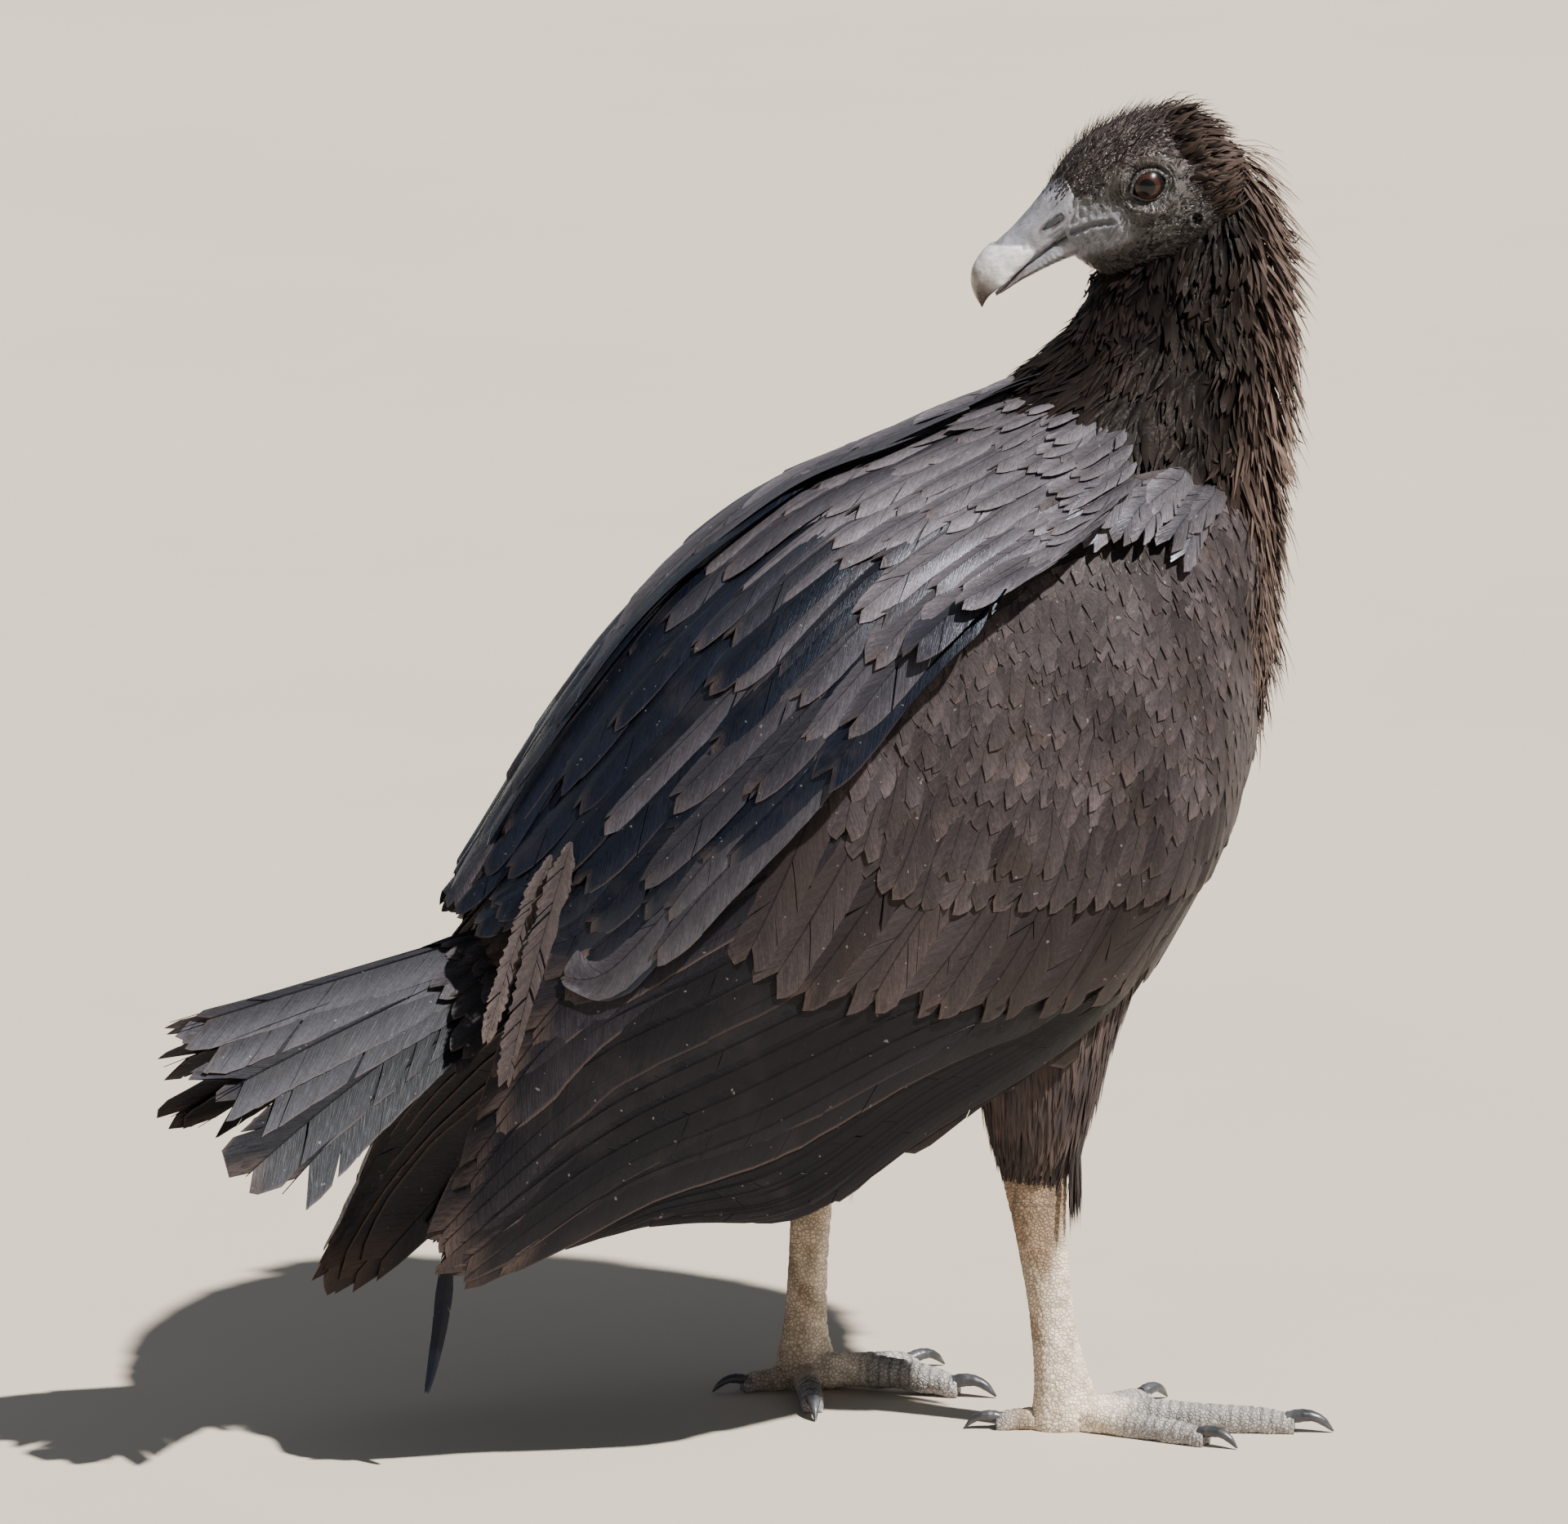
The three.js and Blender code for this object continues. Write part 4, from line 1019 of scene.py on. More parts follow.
def scaled_face(rows, plane, long, cells, size, plates, seed, pads=0.0, from_share=0.0):
    """A leg's or toe's surface: its loft, raised inside each small scale by up to 0.5 mm, with broad
    plates across its upper side, and grooves between them. pads swells the sole."""
    plain = loft(rows, plane)
    def face(t, turn):
        at = plain(t, turn)
        middle = (at + plain(t, turn + np.pi)) / 2
        way = unit(at - middle)
        along = t * long
        inside, kind = scales(turn / (2 * np.pi) * cells, along / size, cells, seed)
        small = 0.5 * np.clip(inside / 0.22, 0, 1) ** 0.6 + 0.12 * kind
        band = np.abs((along / plates) % 1 - 0.5) * 2
        broad = 0.62 * (1 - band ** 6) + 0.1 * np.sin(turn * 7 + along)
        upper = step_up(np.cos(turn), 0.35, 0.6)
        high = (small * (1 - upper) + broad * upper) * step_up(t, from_share, from_share + 0.06)
        swell = pads * np.sin(np.pi * along / (plates * 4)) ** 2 * step_up(-np.cos(turn), 0.1, 0.7)
        at = at + way * (high - 0.45 + swell)[..., None]
        at[..., 2] = np.maximum(at[..., 2], 0)
        return at
    return face


def even(count, *thicker):
    """Shares from 0 to 1, closer together round each given (place, width, gain)."""
    fine = np.linspace(0, 1, 2000)
    weight = 1 + sum(gain * hump(fine - place, width) for place, width, gain in thicker)
    total = np.concatenate([[0], np.cumsum((weight[1:] + weight[:-1]) / 2)])
    return np.interp(np.linspace(0, total[-1], count), total, fine)


def whole_turn(count):
    """That many even turns, once round."""
    return np.linspace(0, 2 * np.pi, count, endpoint=False)


def toe_plane(foot, toe):
    """The upright plane along a toe."""
    angle = np.radians(toe.turn)
    return upright(foot, (np.cos(angle), np.sin(angle), 0))


def lid_face(sign, upper):
    """The rim of the eyelids: a tube along an almond round the eye, a little thicker above."""
    forward, up, out = EYE_AT
    def face(t, turn):
        angle = 2 * np.pi * t
        reach = 5.85 + 0.28 * np.cos(2 * angle) + 1.0 * hump(np.sin(angle / 2 + 0.04), 0.13)
        reach = reach + 0.5 * hump(np.cos(angle / 2), 0.12)
        thick = upper * (0.95 + 0.25 * np.sin(angle) + 0.12 * np.sin(23 * angle))
        f = forward + (reach + thick * np.cos(turn)) * np.cos(angle)
        u = up + (reach + thick * np.cos(turn)) * np.sin(angle) * 0.94
        o = out + 4.0 + thick * 1.1 * np.sin(turn) - 0.09 * (reach - 5.7) ** 2
        o = o - 0.5 * hump(np.sin(angle / 2), 0.2)
        return from_head(f, u, sign * o)
    return face


def ring_object(face, rings, around, name):
    """A closed ring: a tube that bites its own tail."""
    t, turn = np.meshgrid(np.arange(rings) / rings, whole_turn(around), indexing="ij")
    faces = tube_faces(rings, around, closed=True)
    return face_out(make_mesh(name, face(t, turn).reshape(-1, 3), faces))


def flesh_parts(depth):
    """Every closed shape of the flesh, the trunk and neck first."""
    body = loft(BODY_ROWS, MIDLINE, inset=lambda t: depth * (1 - 0.72 * step_up(t, 0.82, 1)))
    parts = [rounded_tube(body, np.linspace(0, 1, 64), whole_turn(56), "flesh_body")]
    sides = 0.9 * (1 - np.abs(np.cos(whole_turn(230))))
    turn = np.interp(np.linspace(0, 1, 216, endpoint=False),
                     np.concatenate([[0], np.cumsum(1 + sides)]) / np.sum(1 + sides), np.linspace(0, 1, 231))
    t = even(172, (0.5, 0.2, 1.0), (0.86, 0.1, 0.5))
    parts.append(rounded_tube(head_face, t, 2 * np.pi * turn, "flesh_head"))
    for side, sign in SIDES:
        parts.append(ring_object(lid_face(sign, 0.8), 90, 10, "lid_" + side))
        a, b = np.meshgrid(np.linspace(0.0, 0.62, 22), np.linspace(0.02, 0.98, 16), indexing="ij")
        at = patch(wing_grid(sign), a, b)
        inward = np.array((0, -sign, 0.0))
        thick = wing_thick(a, b)
        deep = 1.2 * hump(a, 0.03) + 3.0
        root = 16 * step_up(0.4 - a, 0, 0.3) * step_up(0.45 - b, 0, 0.3)
        reach = np.maximum(thick - 1.5, deep + 1.2) + root
        outer, inner = at + inward * deep[..., None], at + inward * reach[..., None]
        parts.append(slab(outer, inner, "flesh_wing_" + side))
        a, b = np.meshgrid(np.linspace(0, 0.78, 16), np.linspace(0.0, 0.80, 12), indexing="ij")
        at = shoulder_face(sign)(a, b)
        at[:, 0, 1] += -sign * 0.4
        below = np.array((0, 0, -1.0))
        inner = at + below * (4.2 + 18 * np.maximum(0, 1 - a / 0.9))[..., None]
        parts.append(slab(at + below * 3.0, inner, "flesh_shoulder_" + side))
        leg = LEGS[side]
        plane = upright((0, leg.y, 0))
        thigh = loft(leg.thigh, plane, inset=lambda t: 0.75 * depth * (1 - 0.8 * t))
        parts.append(rounded_tube(thigh, np.linspace(0, 1, 20), whole_turn(32), "flesh_thigh_" + side))
        shank = scaled_face(leg.shank, plane, 104, 20, 3.0, 3.9, 7, from_share=0.02)
        parts.append(rounded_tube(shank, np.linspace(0, 1, 122), whole_turn(76), "flesh_shank_" + side))
        for toe in leg.toes:
            face = scaled_face(toe_rows(toe), toe_plane(leg.foot, toe), toe.length, 12, 2.6, TOE_PLATES,
                               toe.digit, 0.7)
            rings = int(toe.length / 0.85)
            parts.append(rounded_tube(face, np.linspace(0.02, 1, rings), whole_turn(36), "flesh_toe"))
    return parts


def bare(f, u):
    """How grey and bare the head's skin is round the mouth, from the bill back to below the eye."""
    upper = 2.2 + 0.55 * (f - 13) + 0.03 * np.maximum(f - 26, 0) ** 2
    return step_up(upper - u, -1.5, 2.0) * step_up(u + 0.08 * f, -9.0, -6.0) * step_up(f, 12, 18)


def in_face(points):
    """How far a point of the skin belongs to the bare head, in front of the crest."""
    return step_up(points @ HEAD.f, *((HEAD.at @ HEAD.f) + np.array((-18, -12)))) * (points[:, 2] > 385)


def cheek(f, u):
    """How dark and bristly the head is: 1 on the cheek behind the mouth, and under the chin."""
    behind = step_up(3 - u, 0, 8) * step_up(15 - f, 0, 6)
    return np.maximum(behind, step_up(-u - 0.08 * f, 8, 12)) * (1 - bare(f, u))


def skin_tint(points, colours):
    """The skin's colours by place: the face darkest on the crown and greyer round the mouth, with
    painted shade in the hollows of its folds; the scaled legs pale, stained brown at the heel, with
    painted shade down the back of each shank and in the grooves between the toes' plates, and grey
    toes; and black under the coat."""
    place = in_head(points)
    f, u, s = place.T
    x, y, z = points.T
    mouth = hump(line_distance(f, u, GAPE), 6.5) * step_up(f, 12, 22)
    cere = bare(f, u)
    face = np.outer(1 + 0.35 * ripple(points, 12, 21), colours.face)
    face = face + np.outer(0.45 * mouth * (1 - cere), colours.lips)
    face = blend(face, 0.95 * np.array(colours.cere), cere)
    relief = head_relief(place)
    # Painted shade: the face is darker where its relief sinks, in the hollows of its folds.
    deep = 0.55 + 0.45 * step_up(relief - ripple(points, 30, 2) * 0.1, -0.35, 0.25)
    rim = hump(from_eye(f, u) - 5.9, 0.9) * (np.abs(s) > 12)
    for dark in (deep, 1 - 0.7 * rim, 1 - 0.65 * cheek(f, u)):
        face = face * dark[:, None]
    # Painted shade down the back of each shank, the side away from the sun, mixed into the same brown as the
    # heel's real stain.
    rear = step_up(np.where(y < 0, 103, 42) + 0.12 * z - x, -1, 6)
    stain_and_shade = 0.85 * step_up(z, 54, 94) + 0.25 * step_up(ripple(points, 14, 23), 0.1, 0.9) + 0.55 * rear
    pale = np.outer(1 + 0.16 * ripple(points, 7, 22), colours.leg)
    pale = blend(pale, colours.leg_stain_and_shade, np.clip(stain_and_shade, 0, 0.9))
    heel = np.min([np.hypot(x - leg.foot[0], y - leg.foot[1]) for leg in LEGS.values()], 0)
    toes = np.outer(1 + 0.15 * ripple(points, 5, 24), colours.toe)
    pale = blend(pale, toes, 0.8 * step_up(heel, 14, 30) * step_up(-z, -30, -14))
    # Painted shade in the grooves between the toes' plates.
    grooves = step_up(np.cos(2 * np.pi * heel / TOE_PLATES), 0.2, 0.9)
    grooves = grooves * step_up(heel, 16, 26) * step_up(z, 2, 5)
    pale = pale * (1 - 0.5 * grooves)[:, None]
    return solid(blend(blend(colours.under, face, in_face(points)), pale, step_up(-z, -106, -98)))


# ---------------------------------------------------------------- settings
def tone(name, description, *colour):
    """A colour that a user can change."""
    return FloatVectorProperty(name=name, description=description, subtype="COLOR", default=colour)


def length(name, description, default, **limits):
    """A length that a user can change, in metres."""
    return FloatProperty(name=name, description=description, unit="LENGTH", default=default, **limits)


def direction(name, description, degrees):
    return FloatProperty(name=name, description=description, subtype="ANGLE", default=np.radians(degrees))


class VultureColours(bpy.types.PropertyGroup):
    face: tone("Face", "Bare skin of the head", 0.060, 0.048, 0.045)
    lips: tone("Lips", "Greyer skin near the mouth", 0.12, 0.118, 0.13)
    under: tone("Under the coat", "Skin and down under the feathers", 0.008, 0.007, 0.007)
    leg: tone("Legs", "Pale scales of the shanks", 0.88, 0.75, 0.60)
    # Also the colour of the painted shade down the back of each shank.
    leg_stain_and_shade: tone("Leg stain", "Brown at the heel joint", 0.22, 0.135, 0.075)
    toe: tone("Toes", "Greyer plates of the toes", 0.25, 0.25, 0.27)
    cere: tone("Cere", "Base of the bill", 0.25, 0.25, 0.285)
    horn: tone("Horn", "Pale front of the bill", 0.72, 0.71, 0.72)
    hook: tone("Hook", "Tip of the bill", 0.10, 0.07, 0.055)
    amber: tone("Hook point", "Last millimetres of the hook", 0.36, 0.17, 0.05)
    claw: tone("Claws", "Horn of the claws", 0.045, 0.046, 0.052)
    iris: tone("Iris", "Iris of the eye", 0.030, 0.011, 0.007)
    gloss: tone("Glossy feathers", "Long shoulder feathers", 0.0028, 0.0037, 0.0085)
    mantle: tone("Mantle", "Slate brown feathers of the upper back", 0.080, 0.071, 0.080)
    covert: tone("Coverts", "Small feathers of the wing", 0.0310, 0.0252, 0.0272)
    flight: tone("Flight feathers", "Long feathers of the wing", 0.0104, 0.0093, 0.0124)
    tail: tone("Tail", "Tail feathers", 0.0215, 0.0208, 0.0250)
    body: tone("Body", "Breast, belly and flanks", 0.009, 0.0073, 0.0070)
    hackle: tone("Hackles", "Feathers of the neck", 0.0032, 0.0025, 0.0026)
    bleached: tone("Bleached", "Frayed feathers at the wing's root", 0.044, 0.034, 0.032)
    rust: tone("Rust", "Worn, sun-bleached feather edges", 0.102, 0.070, 0.058)


class VultureSizes(bpy.types.PropertyGroup):
    coat_depth: length("Coat depth", "How far the skin lies inside the frame", 0.0075, min=0.002, max=0.012)
    lesser_rows: IntProperty(name="Rows of lesser coverts", description="Rows of small wing feathers",
                             default=27, min=4, max=32)
    body_gap: length("Body feather spacing", "Between the rows of the body's feathers", 0.010, min=0.006,
                     max=0.03)
    hackle_gap: length("Hackle spacing", "Between the feathers of the neck", 0.0028, min=0.002, max=0.008)
    bristle_gap: length("Bristle spacing", "Between the bristles of the head", 0.00115, min=0.0008, max=0.004)
    lock_gap: length("Thigh lock spacing", "Between the locks of the thighs", 0.0031, min=0.002, max=0.008)
    target: FloatVectorProperty(name="Camera target", description="Point in the middle of the picture",
                                subtype="TRANSLATION", unit="LENGTH", default=(0.0215, 0.0, 0.244))
    distance: length("Camera distance", "From the target to the camera", 6.0)
    picture: length("Picture width", "Width in view at the target", 0.5683)
    azimuth: direction("Camera azimuth", "Round from the bird's right towards its front", -18.0)
    elevation: direction("Camera elevation", "Above the horizon", 12.0)


def colours():
    return bpy.context.scene.vulture_colours


def sizes():
    return bpy.context.scene.vulture_sizes


def digit_nodes(part):
    """The frame's nodes for that part of all eight toes."""
    return [f"{part}_{side}_{k}" for side, _ in SIDES for k in (1, 2, 3, 4)]


class VULTURE_OT_skin(bpy.types.Operator):
    """Makes one skin of trunk, neck, head, wing arms, thighs, shanks and toes, with folds and lids
    on the head and scales on the legs"""
    bl_idname = "vulture.skin"
    bl_label = "Skin"

    def execute(self, context):
        base, *others = flesh_parts(sizes().coat_depth / MM)
        made = joined(base, others)
        made.name = made.data.name = "skin"
        paint(made, lambda points: skin_tint(points, colours()))
        looks = [
            skin_finish("skin_bare", 0.55, roughness=0.36, depth=0.2, gloss=1.0, mottle=0.25),
            skin_finish("skin_scaled", 1.5, roughness=0.6, depth=0.35, mottle=0.16, dust=(0.24, 0.16, 0.09)),
            skin_finish("skin_under", 0.8, roughness=0.8, depth=0.2, gloss=0.08, dust=(0.008, 0.006, 0.006)),
        ]
        finish(made, "bare_skin", looks, "trunk", "neck", "head", "thigh_left", "thigh_right",
               "shank_left", "shank_right", *digit_nodes("toe"))
        centres = np.array([p.center for p in made.data.polygons]) / MM
        part = np.where(centres[:, 2] < SCALED_BELOW, 1, np.where(in_face(centres) > 0.5, 0, 2))
        made.data.polygons.foreach_set("material_index", part.astype(np.int32))
        return {"FINISHED"}


# ---------------------------------------------------------------- eyes, bill and claws
class VULTURE_OT_eyes(bpy.types.Operator):
    """Makes both eyes: a ball with a raised cornea, turned a little forward, with the iris on its
    own map"""
    bl_idname = "vulture.eyes"
    bl_label = "Eyes"

    def execute(self, context):
        look = eye_finish(tuple(colours().iris), EYE_RIM)
        forward, up, out = EYE_AT
        for side, sign in SIDES:
            centre = from_head(*np.array((forward, up, -sign * out), float))
            axis = unit(-sign * HEAD.side + 0.16 * HEAD.f + 0.02 * HEAD.u)
            first = unit(np.cross(HEAD.u, axis))
            second = np.cross(axis, first)
            def face(t, turn, centre=centre, axis=axis, first=first, second=second):
                angle, turn = np.pi * t[..., None], turn[..., None]
                round_way = np.cos(turn) * first + np.sin(turn) * second
                radius = EYE_RADIUS + 0.42 * hump(angle, 0.5)
                return centre + radius * (np.cos(angle) * axis + np.sin(angle) * round_way)
            made = rounded_tube(face, np.linspace(0.004, 0.7, 48), whole_turn(64), "eye_ball_" + side)
            away = (points_of(made) - centre) / EYE_RADIUS
            angle = np.arccos(np.clip(unit(away) @ axis, -1, 1))
            flat = unit(np.stack([away @ first, away @ second], -1)) * angle[:, None]
            add_map(made.data, "Gaze", flat, read(made.data.loops, "vertex_index", 1, np.int32)[:, 0])
            finish(made, "eyes", look, "eye_left" if sign < 0 else "eye_right")
        return {"FINISHED"}


def horn_edge(f, u):
    """How far a place on the upper bill is in front of the curved edge of its horn."""
    return f - 50.5 - 0.27 * (u + 1.2) ** 2


def in_nostril(f, u):
    """A place's distances along and across the nostril's slit."""
    f, u = f - NOSTRIL_AT[0], u - NOSTRIL_AT[1]
    c, s = np.cos(NOSTRIL_SLOPE), np.sin(NOSTRIL_SLOPE)
    return f * c - u * s, f * s + u * c


def upper_bill_face(t, turn):
    """The upper bill: its loft with the horn standing proud of the cere, a rim and a groove round
    the nostril, creases at the base and a slightly wavy cutting edge."""
    at = loft(UPPER_BILL_ROWS, HEAD, 0.1, (1, 0.38))(t, turn)
    place = in_head(at)
    f, u, s = np.moveaxis(place, -1, 0)
    way = unit(place * (0, 0.6, 1.4) + np.array((0, 0.01, 0)))
    proud = horn_edge(f, u)
    sides = step_up(np.abs(s), 2, 5)
    horn = 0.75 * step_up(proud, -0.8, 2.2) * step_up(-f, -74, -64) - 0.25 * hump(proud + 0.9, 0.8)
    horn = horn + 0.9 * np.exp(-(((f - 59) / 6) ** 2) - ((u - 0.5) / 4.5) ** 2) * sides
    along, across = in_nostril(f, u)
    ring = np.hypot(along / 6.4, across / 2.0)
    rim = 0.55 * hump(ring - 1.35, 0.28) * sides
    groove = -0.55 * hump(across + 0.5, 1.3) * step_up(along, 4.5, 8) * step_up(-along, -15, -10) * sides
    creases = 0.10 * np.sin(2 * np.pi * (f + 0.4 * u) / 1.9 + ripple(place, 8, 4)) * step_up(-f, -42, -33)
    fine = 0.06 * ripple(place, 3.0, 31) + 0.05 * np.sin(2 * np.pi * proud / 2.2) * step_up(proud, 2, 4)
    return at + radial(way) * (horn + rim + groove + creases + fine)[..., None]


def lower_bill_face(t, turn):
    """The lower bill: its loft with oblique folds of skin on its rear half."""
    at = loft(LOWER_BILL_ROWS, HEAD, 0.1, (0.42, 1))(t, turn)
    place = in_head(at)
    f, u, _ = np.moveaxis(place, -1, 0)
    way = unit(place * (0, 0.2, 1.4) + np.array((0, -0.3, 0)))
    folds = 0.16 * np.sin(2 * np.pi * (f * 0.5 - u * 0.86) / 1.25 + 0.6 * ripple(place, 7, 6))
    folds = folds * step_up(-f, -56, -46)
    return at + radial(way) * (folds + 0.08 * ripple(place, 3.5, 32))[..., None]


def bill_tint(points, colours, lower):
    """The bill's colours: a blue-grey cere, pale horn in front of its edge, brown towards the hook
    and amber at its point, with painted shade in and round the nostril."""
    f, u, _ = in_head(points).T
    if lower:
        colour = np.outer(0.9 + 0.25 * ripple(points, 6, 41), colours.cere)
        return solid(blend(colour, colours.hook, 0.7 * step_up(f, 50, 62)))
    front = step_up(horn_edge(f, u), -0.5, 0.8)
    colour = blend(np.outer(1 + 0.22 * ripple(points, 9, 42), colours.cere), colours.horn, front)
    brown = step_up(f - 0.6 * u, 68, 79) + 0.25 * step_up(ripple(points, 8, 43), 0.1, 0.8) * front
    colour = blend(colour, colours.hook, np.clip(brown, 0, 1) * 0.92)
    colour = blend(colour, colours.amber, step_up(-u, 9.5, 13.5) * front)
    along, across = in_nostril(f, u)
    # Painted shade inside and round the nostril's slit.
    inside = step_up(-np.hypot(along / 6.0, across / 1.9), -1.12, -0.92)
    return solid(colour * (1 - 0.75 * inside)[:, None])


class VULTURE_OT_bill(bpy.types.Operator):
    """Makes the hooked upper bill, with the nostril cut right through, and the lower bill"""
    bl_idname = "vulture.bill"
    bl_label = "Bill"

    def execute(self, context):
        look = horn_finish("bill_horn", roughness=0.27, coat=0.8, grain=0.16)
        upper = rounded_tube(upper_bill_face, even(118, (0.85, 0.2, 0.8)), whole_turn(84), "bill_upper_horn")
        long_way = np.cos(NOSTRIL_SLOPE) * HEAD.f - np.sin(NOSTRIL_SLOPE) * HEAD.u
        up_way = np.sin(NOSTRIL_SLOPE) * HEAD.f + np.cos(NOSTRIL_SLOPE) * HEAD.u
        centre = from_head(*np.array((*NOSTRIL_AT, 0.0)))
        def slit(t, turn):
            reach, c, s = 40 * (t - 0.5)[..., None], np.cos(turn)[..., None], np.sin(turn)[..., None]
            return centre + HEAD.side * reach + (4.7 * c * long_way + 1.2 * (1 - 0.35 * c) * s * up_way)
        cutter = rounded_tube(slit, np.linspace(0, 1, 4), whole_turn(40), "nostril_cutter")
        joined(upper, [cutter], "DIFFERENCE")
        lower = rounded_tube(lower_bill_face, np.linspace(0, 1, 84), whole_turn(60), "bill_lower_horn")
        for made, node, low in ((upper, "bill_upper", False), (lower, "bill_lower", True)):
            paint(made, lambda points, low=low: bill_tint(points, colours(), low))
            finish(made, "bill_horn", look, node)
        return {"FINISHED"}


class VULTURE_OT_claws(bpy.types.Operator):
    """Makes the eight claws: curved horn with growth rings, blunt at the points"""
    bl_idname = "vulture.claws"
    bl_label = "Claws"

    def execute(self, context):
        rings, around = 30, 20
        points, faces = [], tube_faces(rings, around)
        t, turn = np.meshgrid(np.linspace(0, 1, rings), whole_turn(around), indexing="ij")
        for leg in (LEGS[side] for side, _ in SIDES):
            for toe in leg.toes:
                rows = np.array(CLAW_ROWS) * toe.claw + np.array((toe.length, 0, toe.length, 0, 0))
                plain = loft(rows, toe_plane(leg.foot, toe))
                at = plain(t, turn)
                way = unit(at - (at + plain(t, turn + np.pi)) / 2)
                growth = 0.10 * np.sin(40 * t + 2 * np.cos(turn)) * (1 - t)
                hollow = 0.35 * hump(np.cos(turn) + 1, 0.3) * (1 - t)
                at = at + way * (growth - hollow)[..., None]
                at[..., 2] = np.maximum(at[..., 2], 0)
                points.append(at.reshape(-1, 3))
        starts = rings * around * np.arange(len(points))
        faces = [(starts[:, None, None] + f[None]).reshape(-1, f.shape[1]) for f in faces]
        made = face_out(make_mesh("claws_horn", np.concatenate(points), faces, sharp=60))
        place = points_of(made)
        add_colours(made.data, "Tint", solid(np.outer(1 + 0.35 * ripple(place, 9, 51), colours().claw)))
        look = horn_finish("claw_horn", roughness=0.32, streak=(6, 6, 2))
        finish(made, "claws", look, *digit_nodes("claw"))
        return {"FINISHED"}


# ---------------------------------------------------------------- tracts
def scatter(face, along, around, gap, rng, jitter=0.3):
    """Places spread over a surface between two places along it and two round it, in staggered rows:
    gap is the millimetres between rows and between places in a row."""
    p = np.linspace(*along, 80)
    q = np.linspace(*around, 97)
    sheet = face(p[:, None], q[None])
    step = np.linalg.norm(np.diff(sheet, axis=0), axis=-1).mean(1)
    long = np.concatenate([[0], np.cumsum(step)])
    found = []
    for k, at in enumerate(np.interp(np.arange(gap[0] / 2, long[-1], gap[0]), long, p)):
        ring = face(np.full(q.shape, at), q)
        wide = np.concatenate([[0], np.cumsum(np.linalg.norm(np.diff(ring, axis=0), axis=-1))])
        count = max(3, int(wide[-1] / gap[1]))
        share = (np.arange(count) + 0.5 * (k % 2) + rng.uniform(-jitter, jitter, count)) / count
        turn = np.interp(share * wide[-1], wide, q)
        rows_apart = (along[1] - along[0]) / max(long[-1] / gap[0], 1)
        found.append(np.stack([at + rows_apart * rng.uniform(-jitter, jitter, count), turn], -1))
    return np.concatenate(found)


def aim(face, root, way, mm):
    """Tips that many millimetres from their roots, in a direction among the places of a surface."""
    way = np.broadcast_to(np.asarray(way, float), root.shape)
    ahead = face(*(root + way * NUDGE).T) - face(*(root - way * NUDGE).T)
    speed = np.linalg.norm(ahead, axis=-1) / (2 * NUDGE)
    return root + way * (np.asarray(mm) / np.maximum(speed, 1e-3))[:, None]


def halves(sign, outer, inner):
    """Half width and lean that give a flight feather its narrower web on the wing's lower edge."""
    return (outer, inner / outer) if sign < 0 else (inner, outer / inner)


WING_AREA = Area((-0.7, -0.35), (1.1, 1.15))
SHOULDER_AREA = Area((-0.15, -0.25), (1.25, 1.25))
TAIL_AREA = Area((-1.3, -0.3), (1.3, 1.2))
LOFT_AREA = Area((0, 0), (1.25, 2 * np.pi))
BILL_AREA = Area((0, -1.3), (9, 50), 0.015, 0.99)
# Where shafts, lobes and crest lie on the map, beside the patches of what is under them.
FOR_SHAFTS = {"start": (0.026, 0.02), "end": (0.986, 0.98)}
LOBE_AREA = LOFT_AREA._replace(start=0.024, end=0.976)
CREST_AREA = LOFT_AREA._replace(start=0.013, end=0.973)

# Rows of wing feathers as places on the wing, from its top edge round to its lower edge.
SECONDARY_ROOTS = [(0.44, 0.02), (0.42, 0.25), (0.38, 0.5), (0.33, 0.72), (0.28, 0.88)]
SECONDARY_TIPS = [(0.80, 0.0), (0.93, 0.03), (1.0, 0.22), (1.02, 0.5), (0.985, 0.76)]
PRIMARY_ROOTS = [(0.30, 0.88), (0.24, 0.93), (0.18, 0.97), (0.10, 1.0)]
PRIMARY_TIPS = [(0.97, 0.90), (0.90, 0.99), (0.80, 1.03), (0.66, 1.04)]
GREATER_TIPS = [(0.76, 0.0), (0.70, 0.15), (0.665, 0.30), (0.64, 0.47), (0.58, 0.60), (0.48, 0.77),
                (0.37, 0.885), (0.27, 0.96), (0.18, 1.0), (0.10, 1.01), (0.03, 1.0)]
MEDIAN_TIPS = [(0.58, -0.03), (0.55, 0.14), (0.53, 0.28), (0.505, 0.44), (0.42, 0.56), (0.34, 0.655),
               (0.25, 0.745), (0.15, 0.83), (0.05, 0.90), (-0.03, 0.93), (-0.12, 0.94)]


